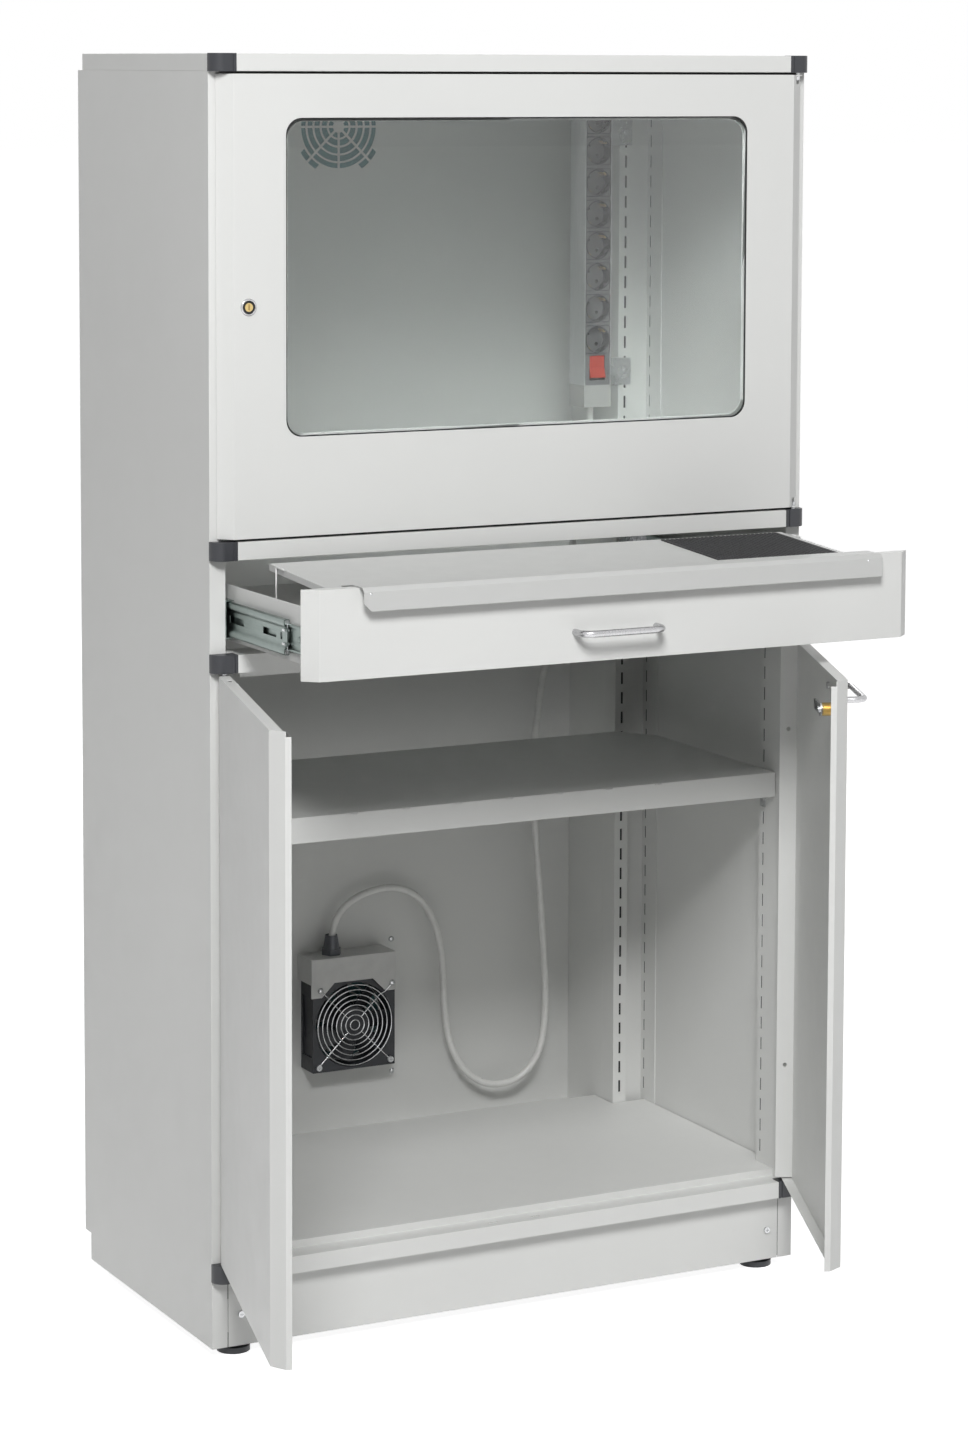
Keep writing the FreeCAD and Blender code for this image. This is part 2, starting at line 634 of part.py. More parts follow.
def punched_rings(x, z):
    """Cutters for a round grille: rings broken by four straight and four diagonal spokes."""
    y0 = WALL_Y - 1
    y1 = WALL_Y + 3
    reach = GRILLE_CORNER[1] + 2

    def bars(width, angles):
        bar = box(x - reach, x + reach, y0 - 1, y1 + 1, z - width / 2, z + width / 2)
        return [bar.rotated(V(x, 0, z), V(0, 1, 0), angle) for angle in angles]

    def ring(inner, outer):
        return cut(rod("y", x, z, outer, y0, y1), rod("y", x, z, inner, y0 - 1, y1 + 1))

    corners = ring(*GRILLE_CORNER).common(fuse(*bars(GRILLE_CORNER_WIDTH, (45, 135))))
    rings = [ring(*band) for band in GRILLE_BANDS] + [corners]
    return [cut(shape, *bars(SPOKE, (0, 45, 90, 135))) for shape in rings]


def vent_filter(x, z):
    y0 = WALL_Y + SHEET
    return box(x - FILTER_HALF, x + FILTER_HALF, y0, y0 + FILTER_THICKNESS,
               z - FILTER_HALF, z + FILTER_HALF)


def rear_grille(x, z):
    """Outside frame that holds a filter mat, with level bars."""
    y0 = WALL_Y + SHEET
    y1 = y0 + FILTER_THICKNESS + 4
    outer = box(x - GRILLE_HALF, x + GRILLE_HALF, y0, y1, z - GRILLE_HALF, z + GRILLE_HALF)
    room = FILTER_HALF + 0.2
    pocket = box(x - room, x + room, y0 - 1, y0 + FILTER_THICKNESS, z - room, z + room)
    openings = []
    for i in range(-3, 4):
        level = z + 15 * i
        openings.append(box(x - 52, x + 52, y0, y1 + 1, level - 5, level + 5))
    return cut(outer, pocket, *openings)


# ---- corner blocks and hinge pins ----

def corner_block(z0, z1, bores):
    """Right plastic block at a rail's end, rounded outside, grooved on its face."""
    block = box(RAIL_HALF, HALF + BLOCK_PROUD, -FRONT, 0, z0 - BLOCK_RISE, z1 + BLOCK_RISE)
    corner = [e for e in block.Edges if abs(e.tangentAt(e.FirstParameter).z) > 0.9
              and e.CenterOfMass.x > HALF and e.CenterOfMass.y < -1]
    block = block.makeFillet(BLOCK_CORNER, corner)
    groove_x = RAIL_HALF + GROOVE_X
    groove = box(groove_x - GROOVE_WIDTH / 2, groove_x + GROOVE_WIDTH / 2,
                 -FRONT - 1, -FRONT + GROOVE_DEPTH, z0 - 5, z1 + 5)
    return cut(block, groove, *bores)


def hinge_pin(seat, way, radius=PIN_RADIUS):
    """Pin that is pressed into a block's face at seat and points way."""
    return rod("z", PIVOT_X, -PIVOT_DEPTH, radius, seat - way * PIN_SEAT, seat + way * PIN_REACH)


# seat heights of the pins and the way each points, for both lower doors and the upper one
LOWER_PINS = ((BASE_RAIL_TOP + BLOCK_RISE, 1), (LOWER_RAIL_Z - BLOCK_RISE, -1))
UPPER_PINS = ((MID_RAIL_TOP + BLOCK_RISE, 1), (CAP_Z - BLOCK_RISE, -1))


def pin_bores(pins):
    return [hinge_pin(seat, way, PIN_RADIUS + FIT) for seat, way in pins]


# ---- doors ----

def hinge_ears(leaf, z0, z1):
    """Add the two ears that turn on the pins, and clear the sheet round the pins."""
    y = -PIVOT_DEPTH
    ears = [rod("z", PIVOT_X, y, EAR_RADIUS, z, z + SHEET) for z in (z0, z1 - SHEET)]
    holes = [rod("z", PIVOT_X, y, PIN_RADIUS + PIN_ROOM, z0 - 1, z0 + SHEET),
             rod("z", PIVOT_X, y, PIN_RADIUS + PIN_ROOM, z1 - SHEET, z1 + 1),
             rod("z", PIVOT_X, y, RELIEF_RADIUS, z0 + SHEET, z0 + SHEET + RELIEF_HEIGHT),
             rod("z", PIVOT_X, y, RELIEF_RADIUS, z1 - SHEET - RELIEF_HEIGHT, z1 - SHEET)]
    return cut(fuse(leaf, *ears), *holes)


def lower_leaf():
    """Right lower door, closed: folded skin, end flanges and a punched stiffener."""
    free = MEETING_GAP / 2
    face = DOOR_HALF - BEVEL
    back = -BACK_GAP
    outline = [(free, INNER_LIP), (free, back), (free + BEVEL, -FRONT), (face, -FRONT),
               (DOOR_HALF, -HINGE_EDGE)]
    skin = strip("z", outline, SHEET, DOOR_BOTTOM, DOOR_TOP)
    lip_notch = box(free - 1, free + SHEET + 1, STOP_Y - STOP_ROOM, INNER_LIP + 1,
                    LOWER_RAIL_Z - STOP_DROP - STOP_ROOM, DOOR_TOP + 1)
    skin = cut(skin, lip_notch)
    flange_y = back - SHEET
    end = [(free + BEVEL, -FRONT), (face, -FRONT), (DOOR_HALF, -HINGE_EDGE),
           (PIVOT_X, flange_y), (free + CORNER_CUT, flange_y)]
    ends = [prism("z", end, z, z + SHEET) for z in (DOOR_BOTTOM, DOOR_TOP - SHEET)]
    web_x = HALF - WEB_INSET
    web = box(web_x - SHEET, web_x, SKIN, WEB_BACK, DOOR_BOTTOM + 3, DOOR_TOP - 8)
    holes = [rod("x", -4, z, WEB_HOLE_RADIUS, web_x - 3, web_x + 3)
             for z in (DOOR_BOTTOM + LOW_WEB_HOLE, DOOR_TOP - HIGH_WEB_HOLE)]
    return hinge_ears(fuse(skin, *ends, cut(web, *holes)), DOOR_BOTTOM, DOOR_TOP)


def upper_leaf():
    """Upper door, hinged on the right: folded skin with the window opening."""
    back = -BACK_GAP
    face = DOOR_HALF - BEVEL
    outline = [(-DOOR_HALF + RETURN_LIP, back), (-DOOR_HALF, back), (-face, -FRONT),
               (face, -FRONT), (DOOR_HALF, -HINGE_EDGE)]
    skin = strip("z", outline, SHEET, UPPER_DOOR_BOTTOM, UPPER_DOOR_TOP)
    flange_y = back - SHEET
    end = [(-face, -FRONT), (face, -FRONT), (DOOR_HALF, -HINGE_EDGE), (PIVOT_X, flange_y),
           (-DOOR_HALF + CORNER_CUT, flange_y)]
    ends = [prism("z", end, z, z + SHEET) for z in (UPPER_DOOR_BOTTOM, UPPER_DOOR_TOP - SHEET)]
    z0, z1 = window_heights(0)
    window = rounded_slab(WINDOW_HALF, -FRONT - 1, SKIN + 1, z0, z1, WINDOW_CORNER)
    lock_hole = rod("y", -HALF + UPPER_LOCK_INSET, UPPER_LOCK_Z, LOCK_BODY_RADIUS + FIT,
                    -FRONT - 1, SKIN + 1)
    leaf = hinge_ears(fuse(skin, *ends), UPPER_DOOR_BOTTOM, UPPER_DOOR_TOP)
    return cut(leaf, window, lock_hole)


def window_heights(margin):
    return MID_RAIL_TOP + WINDOW_BOTTOM - margin, CAP_Z - WINDOW_TOP + margin


def window_ring(inside, outside, y0, y1):
    """A flat frame round the window, from margin inside to margin outside its edge."""
    outer = rounded_slab(WINDOW_HALF + outside, y0, y1, *window_heights(outside), WINDOW_CORNER)
    inner = rounded_slab(WINDOW_HALF + inside, y0 - 1, y1 + 1, *window_heights(inside), WINDOW_CORNER)
    return cut(outer, inner)


def window_seal():
    return window_ring(-SEAL_SHOWS, GLASS_OVERLAP, SKIN, SKIN + SEAL)


def window_pane():
    margin = GLASS_OVERLAP
    y0 = SKIN + SEAL
    return rounded_slab(WINDOW_HALF + margin, y0, y0 + GLASS, *window_heights(margin), WINDOW_CORNER)


def window_frame():
    """Folded frame that presses the pane and its seal against the door's skin."""
    y0 = SKIN + SEAL + GLASS
    wall = GLASS_OVERLAP + 2
    flat = window_ring(-4, wall + SHEET, y0, y0 + SHEET)
    rim = window_ring(wall, wall + SHEET, SKIN, y0 + SHEET)
    return fuse(flat, rim)


def lock_set(x, z, cam_y, cam_length, turn):
    """Housing with its nut, plug, and cam with its screw, of a lock in a front sheet.
    The cam points down, turned by turn degrees towards -x."""
    stop = cam_y - 0.3
    face = rod("y", x, z, LOCK_FACE_RADIUS, -FRONT - LOCK_PROUD, -FRONT)
    barrel = fuse(face, rod("y", x, z, LOCK_BODY_RADIUS, -FRONT, stop))
    bore = rod("y", x, z, PLUG_RADIUS + 2 * FIT, -FRONT - 5, stop + 1)
    nut = prism("y", polygon(x, z, 6, LOCK_NUT), SKIN, SKIN + LOCK_NUT_HEIGHT)
    nut = cut(nut, rod("y", x, z, LOCK_BODY_RADIUS + FIT, SKIN - 1, SKIN + LOCK_NUT_HEIGHT + 1))
    plug_face = -FRONT - LOCK_PROUD + 0.3
    plug = rod("y", x, z, PLUG_RADIUS, plug_face, cam_y)
    keyway = box(x - 0.6, x + 0.6, plug_face - 1, plug_face + 4, z - 3.5, z + 3.5)
    end = cam_y + CAM_THICKNESS
    screw_tip = end - SCREW_LENGTH
    plug = cut(plug, keyway, screw_bore("y", x, z, screw_tip, cam_y + 1))
    arm = box(x - CAM_WIDTH / 2, x + CAM_WIDTH / 2, cam_y, end, z - cam_length, z)
    cam = fuse(arm, rod("y", x, z, LOCK_BODY_RADIUS, cam_y, end))
    cam = cut(cam, screw_bore("y", x, z, cam_y - 1, end + 1))
    cam = cam.rotated(V(x, 0, z), V(0, 1, 0), turn)
    return group(cut(barrel, bore), nut), plug, group(cam, screw("y", x, z, end, -1))


def bow_handle(x, z):
    """Bent bar handle on a front sheet, with a blind bore in each end for its screw."""
    left = x - HANDLE_PITCH / 2
    right = x + HANDLE_PITCH / 2
    reach = -FRONT - HANDLE_REACH
    route = [(left, -FRONT, z), (left, reach, z), (right, reach, z), (right, -FRONT, z)]
    bar = tube_path(route, HANDLE_BAR, HANDLE_BEND)[0]
    tip = SKIN - HANDLE_SCREW - 0.2
    return cut(bar, *[screw_bore("y", end, z, tip, -FRONT + 1) for end in (left, right)])


def handle_screws(x, z):
    return [screw("y", x + side * HANDLE_PITCH / 2, z, SKIN, -1, HANDLE_SCREW) for side in (-1, 1)]


def handle_bores(x, z):
    return [screw_bore("y", x + side * HANDLE_PITCH / 2, z, -FRONT - 1, SKIN + 1)
            for side in (-1, 1)]


def swung(shape, side, degrees):
    """Turn a closed door's piece about its hinge to where the door rests."""
    return shape.rotated(V(side * PIVOT_X, -PIVOT_DEPTH, 0), V(0, 0, 1), side * degrees)


# ---- drawer, closed ----

def pulled(shape, share=1.0):
    """Move a closed drawer's piece to where the open drawer rests."""
    return shape.translated(V(0, -DRAWER_OUT * share, 0))


def drawer_front():
    back = -BACK_GAP
    wide = HALF - 3
    face = wide - BEVEL
    lip = BOX_HALF - 6
    outline = [(-lip, back), (-wide, back), (-face, -FRONT), (face, -FRONT), (wide, back), (lip, back)]
    skin = strip("z", outline, SHEET, DRAWER_BOTTOM, DRAWER_TOP)
    flange_y = back - SHEET
    end = [(-face, -FRONT), (face, -FRONT), (wide - CORNER_CUT, flange_y), (-wide + CORNER_CUT, flange_y)]
    ends = [prism("z", end, z, z + SHEET) for z in (DRAWER_BOTTOM, DRAWER_TOP - SHEET)]
    return cut(fuse(skin, *ends), *handle_bores(DRAWER_HANDLE_X, DRAWER_HANDLE_Z))


def drawer_box():
    """Open tray: floor and sides of one sheet, a front wall and a low rear wall."""
    front = -BACK_GAP
    back = front + BOX_LENGTH
    top = BOX_Z + BOX_HEIGHT
    outline = [(-BOX_HALF, top), (-BOX_HALF, BOX_Z), (BOX_HALF, BOX_Z), (BOX_HALF, top)]
    sheet = strip("y", outline, SHEET, front, back)
    wall = box(-BOX_HALF, BOX_HALF, front, front + SHEET, BOX_Z, top)
    rear = box(-BOX_HALF, BOX_HALF, back - SHEET, back, BOX_Z, top - 15)
    return fuse(sheet, wall, rear)


def channel(side_from, side_to, half, y0, y1):
    """Right slide member: a web at side_from with flanges that reach to side_to."""
    inward = 1 if side_to > side_from else -1
    outline = [(side_to, SLIDE_Z + half), (side_from, SLIDE_Z + half),
               (side_from, SLIDE_Z - half), (side_to, SLIDE_Z - half)]
    return strip("y", outline, inward * SHEET, y0, y1)


def slide_outer():
    return channel(POST, OUTER_TIP, SLIDE_OUTER, 0.5, SLIDE_LENGTH + 5)


def slide_middle():
    """Middle member and its two ball cages, for the right side."""
    web = POST - SHEET - SLIDE_STEP * SLIDE_AIR
    length = (0.5, SLIDE_LENGTH)
    member = channel(web, MIDDLE_TIP, SLIDE_MIDDLE, *length)
    slots = [box(web - 3, web + 3, y - 9, y + 9, SLIDE_Z - 4, SLIDE_Z + 4)
             for y in range(40, int(SLIDE_LENGTH) - 20, 60)]
    high = SLIDE_Z + SLIDE_MIDDLE - SHEET
    low = SLIDE_Z - SLIDE_MIDDLE + SHEET
    end = BOX_HALF + SLIDE_STEP * CAGE_TIP
    cages = [box(OUTER_TIP, end, 20, SLIDE_LENGTH - 20, z, z + BALL_CAGE)
             for z in (high - BALL_CAGE, low)]
    return cut(member, *slots), cages


def slide_inner():
    return channel(BOX_HALF, INNER_TIP, SLIDE_INNER, -BACK_GAP + SHEET + 0.5, SLIDE_LENGTH - 2)


def slide_bracket():
    """Right rear angle between the fixed slide member and the rear upright."""
    low = SLIDE_Z - SLIDE_BRACKET_HALF
    high = SLIDE_Z + SLIDE_BRACKET_HALF
    leg = box(POST, POST + SHEET, REAR_FLANGE_Y - 60, REAR_FLANGE_Y, low, high)
    plate = box(REAR_SLOT_X - 6, POST + SHEET, REAR_FLANGE_Y - SHEET, REAR_FLANGE_Y, low, high)
    return fuse(leg, plate)


# ---- keyboard tray, with the drawer closed ----

TRAY_REAR_TOP = MID_RAIL_Z - TRAY_REAR_DROP
TRAY_FRONT_TOP = MID_RAIL_Z - TRAY_FRONT_DROP
LEDGE_TOP = DRAWER_TOP + LEDGE_ROOM + SHEET
TRAY_START = 4.0
LIP_Y = -FRONT - LIP_REACH


def pan_height(y):
    """Height of the tray's top at a place between its front and its rear edge."""
    slope = (TRAY_REAR_TOP - TRAY_FRONT_TOP) / TRAY_LENGTH
    return TRAY_FRONT_TOP + slope * (y - TRAY_START)


def keyboard_tray():
    """Sloping pan with side flanges, hooked over the drawer front by a ledge and a lip."""
    end = TRAY_START + TRAY_LENGTH
    outline = [(LIP_Y, LEDGE_TOP - LIP_HEIGHT), (LIP_Y, LEDGE_TOP - 5), (LIP_Y + 5, LEDGE_TOP),
               (TRAY_START, LEDGE_TOP), (TRAY_START, TRAY_FRONT_TOP), (end, TRAY_REAR_TOP)]
    sheet = strip("x", outline, -SHEET, -TRAY_HALF, TRAY_HALF)
    left = -TRAY_HALF + LIP_LEFT
    low = LEDGE_TOP - LIP_HEIGHT
    trim = box(-TRAY_HALF - 1, left, LIP_Y - 1, TRAY_START - 2 * SHEET, low - 1, LEDGE_TOP + 1)
    corner = prism("y", [(left - 1, low - 1), (left + 10, low - 1), (left - 1, low + 10)],
                   LIP_Y - 1, LIP_Y + 3)
    flange = prism("x", [(TRAY_START, TRAY_FRONT_TOP - SHEET), (end, TRAY_REAR_TOP - SHEET),
                         (end, TRAY_REAR_TOP - TRAY_FLANGE), (TRAY_START, TRAY_FRONT_TOP - TRAY_FLANGE)],
                   TRAY_HALF - SHEET, TRAY_HALF)
    return fuse(cut(sheet, trim, corner), flange, mirrored(flange))


def mouse_mat():
    """Ribbed mat that lies on the right of the tray."""
    right = TRAY_HALF - 12
    y0 = TRAY_START + 4
    y1 = TRAY_START + TRAY_LENGTH - 8
    points = [(y0, pan_height(y0)), (y1, pan_height(y1))]
    flat = strip("x", points, MAT_THICKNESS, MAT_LEFT, right)
    grooves = []
    count = int((right - MAT_LEFT) / MAT_RIB)
    for i in range(1, count):
        x = MAT_LEFT + MAT_RIB * i
        grooves.append(strip("x", [(y, z + MAT_THICKNESS * 0.6) for y, z in points],
                             MAT_THICKNESS, x - MAT_RIB / 4, x + MAT_RIB / 4))
    return cut(flat, *grooves)


def wire_stay():
    """Right wire leg: it stands on the drawer's floor and hooks forward along the tray."""
    x = TRAY_HALF + STAY_WIRE / 2
    top = pan_height(STAY_REAR)
    foot = BOX_Z + SHEET + 0.3
    route = [(x, STAY_REAR, foot), (x, STAY_REAR, top), (x, STAY_REAR - STAY_HOOK, top - 0.8)]
    return tube_path(route, STAY_WIRE, 3.0)[0]


# ---- shelf ----

def shelf():
    """Folded shelf with cut rear corners, open below, notched along its front fold."""
    half = POST - 2
    back = SIDE_DEPTH - SHELF_BACK
    right = [(half, SHELF_FRONT), (half, back - SHELF_CUT_Y), (half - SHELF_CUT_X, back)]
    outline = right + [(-x, y) for x, y in right[::-1]]
    corners = [V(x, y, 0) for x, y in outline]
    plan = Part.Face(Part.makePolygon(corners + corners[:1]))
    inner = plan.makeOffset2D(-SHEET, 2)
    low = SHELF_TOP - SHELF_THICKNESS
    whole = plan.extrude(V(0, 0, SHELF_THICKNESS)).translated(V(0, 0, low))
    hollow = inner.extrude(V(0, 0, SHELF_THICKNESS)).translated(V(0, 0, low - SHEET))
    first = -SHELF_NOTCH_PITCH * (SHELF_NOTCHES - 1) / 2
    notches = []
    for i in range(SHELF_NOTCHES):
        x = first + SHELF_NOTCH_PITCH * i
        notches.append(box(x - 5, x + 5, SHELF_FRONT - 1, SHELF_FRONT + 2, SHELF_TOP - 1.5, SHELF_TOP + 1))
    return cut(whole, hollow, *notches)


def shelf_slot_z():
    """Height of the slot just under the shelf, which its clips hook into."""
    low = SHELF_TOP - SHELF_THICKNESS
    return max(z for z in slot_heights() if z + SLOT_LENGTH / 2 < low + 5)


def shelf_clips():
    """Right front and right rear clip, each hooked into a slot."""
    top = SHELF_TOP - SHELF_THICKNESS
    slot_z = shelf_slot_z()
    y = FRONT_POST_DEPTH - SLOT_INSET
    front = fuse(box(POST - 14, POST, y - 6, y + 6, top - 2.5, top),
                 box(POST - SHEET, POST, y - 6, y + 6, slot_z - 12, top),
                 box(POST - SHEET, POST + 5, y - 1.4, y + 1.4, slot_z - 7, slot_z + 4))
    x = REAR_SLOT_X
    y = REAR_FLANGE_Y
    rear = fuse(box(x - 6, x + 6, y - 48, y, top - 2.5, top),
                box(x - 6, x + 6, y - SHEET, y, slot_z - 12, top),
                box(x - 1.4, x + 1.4, y - SHEET, y + 5, slot_z - 7, slot_z + 4))
    return front, rear


# ---- fan ----

def fan_corners():
    return [(FAN_X + a * FAN_SCREW, FAN_Z + b * FAN_SCREW) for a in (-1, 1) for b in (-1, 1)]


def fan_wall_bores():
    return [screw_bore("y", x, z, WALL_Y - 1, WALL_Y + 3) for x, z in fan_corners()]


def fan_frame():
    """Square frame with the air duct, corner bores and the motor mount on three struts."""
    x, z = FAN_X, FAN_Z
    block = box(x - FAN_HALF, x + FAN_HALF, FAN_FRONT, WALL_Y, z - FAN_HALF, z + FAN_HALF)
    duct = rod("y", x, z, FAN_BORE, FAN_FRONT - 1, WALL_Y + 1)
    bores = [screw_bore("y", u, v, FAN_FRONT - 1, WALL_Y + 1) for u, v in fan_corners()]
    waists = []
    for angle in (0, 90, 180, 270):
        waist = box(x + 57.5, x + FAN_HALF + 1, FAN_FRONT + 5, WALL_Y - 5, z - 40, z + 40)
        waists.append(waist.rotated(V(x, 0, z), V(0, 1, 0), angle))
    mount = rod("y", x, z, HUB_RADIUS + 1, WALL_Y - 6, WALL_Y)
    struts = []
    for angle in (30, 150, 270):
        strut = box(x + HUB_RADIUS - 2, x + FAN_BORE + 0.5, WALL_Y - 5, WALL_Y, z - 2.5, z + 2.5)
        struts.append(strut.rotated(V(x, 0, z), V(0, 1, 0), angle))
    return fuse(cut(block, duct, *bores, *waists), mount, *struts)


def fan_rotor():
    """Hub and pitched blades."""
    x, z = FAN_X, FAN_Z
    hub = rod("y", x, z, HUB_RADIUS, FAN_FRONT + 4, WALL_Y - 6.4)
    middle = (FAN_FRONT + WALL_Y) / 2 - 1
    half = BLADE_CHORD / 2
    blades = []
    for i in range(BLADES):
        blade = box(x + HUB_RADIUS - 2, x + BLADE_TIP - 2, middle - 0.9, middle + 0.9, z - half, z + half)
        blade = blade.rotated(V(x, middle, z), V(1, 0, 0), BLADE_PITCH)
        blades.append(blade.rotated(V(x, 0, z), V(0, 1, 0), 360 / BLADES * i))
    return fuse(hub, *blades)


def fan_guard():
    """Finger guard: flat rings on two crossed bars that end at the corner screws."""
    x, z = FAN_X, FAN_Z
    y = FAN_FRONT
    reach = FAN_SCREW * math.sqrt(2)
    bars = []
    for angle in (45, 135):
        bar = box(x - reach, x + reach, y - 1.6, y, z - 1.6, z + 1.6)
        bars.append(bar.rotated(V(x, 0, z), V(0, 1, 0), angle))
    rings = []
    step = BLADE_TIP / GUARD_RINGS
    for i in range(1, GUARD_RINGS + 1):
        outer = step * i + 0.9
        rings.append(cut(rod("y", x, z, outer, y - 3.2, y - 1.6),
                         rod("y", x, z, outer - 1.8, y - 4, y - 1)))
    centre = rod("y", x, z, 5, y - 3.2, y - 1.6)
    lugs = [rod("y", u, v, 5.5, y - 1.6, y) for u, v in fan_corners()]
    bores = [screw_bore("y", u, v, y - 5, y + 1) for u, v in fan_corners()]
    return cut(fuse(*bars, *rings, centre, *lugs), *bores)


def fan_screws():
    """Long screws through guard, frame and wall, each with its nut outside."""
    seat = FAN_FRONT - 1.6
    pieces = []
    for u, v in fan_corners():
        pieces.append(screw("y", u, v, seat, 1, FAN_DEPTH + 8))
        nut = prism("y", polygon(u, v, 6, 7), WALL_Y + SHEET, WALL_Y + SHEET + 3.2)
        pieces.append(cut(nut, screw_bore("y", u, v, WALL_Y, WALL_Y + 6)))
    return pieces


def fan_grille():
    """The fan's outside grille, cut away round the nuts of the fan screws."""
    room = [rod("y", u, v, 5.5, WALL_Y + SHEET - 1, WALL_Y + 20) for u, v in fan_corners()]
    return cut(rear_grille(FAN_X, FAN_Z), *room)


def fan_filter():
    room = [rod("y", u, v, 5.5, WALL_Y, WALL_Y + 20) for u, v in fan_corners()]
    return cut(vent_filter(FAN_X, FAN_Z), *room)


def junction_box():
    """Terminal box above the fan, with a front plate that reaches down over its top."""
    y = FAN_FRONT - HEAD_HEIGHT - 2
    left = FAN_X - JUNCTION_LEFT
    right = FAN_X + JUNCTION_RIGHT
    low = FAN_Z + JUNCTION_LOW
    high = JUNCTION_TOP
    notch = JUNCTION_NOTCH
    outline = [(left, low), (left + 15, low), (left + 15 + notch, low + notch),
               (right - 35, low + notch), (right - 35 + notch, low), (right, low),
               (right, high), (left, high)]
    plate = prism("y", outline, y - 2, y)
    over_fan = FAN_Z + FAN_HALF + 0.5
    shell = box(left, right, y, WALL_Y, over_fan, high)
    shell = cut(shell, box(left + 2, right - 2, y - 1, WALL_Y + 1, over_fan + 2, high - 2))
    gland_hole = rod("z", GLAND_X, GLAND_Y, 6.05, high - 3, high + 1)
    return cut(fuse(plate, shell), gland_hole)


def cable_gland():
    """Gland on the box: thread below, hexagon, domed cap with a flared mouth."""
    x, y, z = GLAND_X, GLAND_Y, JUNCTION_TOP
    thread = rod("z", x, y, 6, z - 2, z)
    hexagon = prism("z", polygon(x, y, 6, 24), z, z + 8)
    dome = Part.makeCone(11, 8, GLAND_HEIGHT - 8, V(x, y, z + 8))
    bore = rod("z", x, y, CORD / 2 + 0.2, z + 4, z + GLAND_HEIGHT + 1)
    mouth = Part.makeCone(CORD / 2 + 0.2, 7, 14, V(x, y, z + GLAND_HEIGHT - 14))
    return cut(fuse(thread, hexagon, dome), bore, mouth)


def supply_cord():
    """The fan's cord: a loop beside the gland, down round the fan, up behind the shelf to
    the power strip's lower end. Runs are listed by hand from the gland on."""
    wall = WALL_Y
    near = wall - GLAND_TO_WALL
    gland = JUNCTION_TOP
    route = [(GLAND_X, near, gland + 4), (GLAND_X, near, gland + 31), (-8, near, gland + 57),
             (20, near, gland + 76), (66, near, gland + 84), (103, near, gland + 70.5),
             (126, near, gland + 44), (141.4, near, gland), (145.4, near, 299.8),
             (147, near, 253), (154, near - 2, 205), (174, near - 5, 165), (208, near - 9, 141),
             (250, near - 13, 143), (280, near - 17, 170), (290, near - 20, 212),
             (291, near - 22, 262), (287, near - 23, 325), (281, near - 24, 400),
             (273, near - 25, 480), (268, near - 25.5, 556), (271.6, near - 25, 630),
             (284.5, near - 26, 710),
             (299, near - 32, 790), (309, near - 50, 864), (312, near - 76, 932),
             (308, near - 100, 994), (STRIP_X, CORD_ENTRY_Y, 1040), (STRIP_X, CORD_ENTRY_Y, STRIP_BOTTOM + 8)]
    return tube_path(route, CORD)


# ---- power strip ----

def strip_housing():
    """Metal channel round the sockets, open to the front."""
    left, right = STRIP_X - STRIP_HALF, STRIP_X + STRIP_HALF
    outline = [(left, STRIP_FRONT), (left, STRIP_BACK), (right, STRIP_BACK), (right, STRIP_FRONT)]
    return strip("z", outline, -PANEL, STRIP_BODY_Z, STRIP_BODY_TOP)


def socket_places():
    return [STRIP_BOTTOM + FIRST_SOCKET + SOCKET_PITCH * i for i in range(SOCKETS)]


def socket_insert():
    """Plastic body with the socket wells, their pin holes and the switch pocket."""
    half = STRIP_HALF - PANEL
    block = box(STRIP_X - half, STRIP_X + half, STRIP_FRONT + 1, STRIP_BACK - PANEL,
                STRIP_BODY_Z, STRIP_BODY_TOP)
    face = STRIP_FRONT + 1
    tools = []
    for z in socket_places():
        tools.append(rod("y", STRIP_X, z, SOCKET_RADIUS, face - 1, face + SOCKET_DEPTH))
        for dx, dz in ((-6.7, 6.7), (6.7, -6.7)):
            tools.append(rod("y", STRIP_X + dx, z + dz, 2.5, face, face + SOCKET_DEPTH + 12))
    room = 2.0
    pocket = SWITCH_HALF_WIDTH + SWITCH_ROOM
    tools.append(box(STRIP_X - pocket, STRIP_X + pocket, face - 1, face + 16,
                     SWITCH_Z - SWITCH_HALF - room, SWITCH_Z + SWITCH_HALF + room))
    pin_end = SWITCH_HALF_WIDTH + SWITCH_PIN_REACH + SWITCH_ROOM
    tools.append(rod("x", SWITCH_Y, SWITCH_Z, SWITCH_PIN + PIN_ROOM,
                     STRIP_X - pin_end, STRIP_X + pin_end))
    return cut(block, *tools)


def earth_clips():
    """Two sprung contacts in each socket well."""
    face = STRIP_FRONT + 1
    clips = []
    for z in socket_places():
        for turn in (45, 225):
            clip = box(STRIP_X - 2.5, STRIP_X + 2.5, face + 2, face + SOCKET_DEPTH,
                       z + SOCKET_RADIUS - 2.5, z + SOCKET_RADIUS - 0.5)
            clips.append(clip.rotated(V(STRIP_X, 0, z), V(0, 1, 0), turn))
    return clips


def strip_ends():
    """Lower end module with the cord's entry, and the upper end cap."""
    left, right = STRIP_X - STRIP_HALF, STRIP_X + STRIP_HALF
    low = box(left, right, STRIP_FRONT, STRIP_BACK, STRIP_BOTTOM, STRIP_BODY_Z)
    entry = rod("z", STRIP_X, CORD_ENTRY_Y, CORD / 2 + 0.2, STRIP_BOTTOM - 1, STRIP_BOTTOM + 8)
    high = box(left, right, STRIP_FRONT, STRIP_BACK, STRIP_BODY_TOP, STRIP_TOP)
    return cut(low, entry), high


def rocker_pivot():
    return V(STRIP_X, SWITCH_Y, SWITCH_Z)


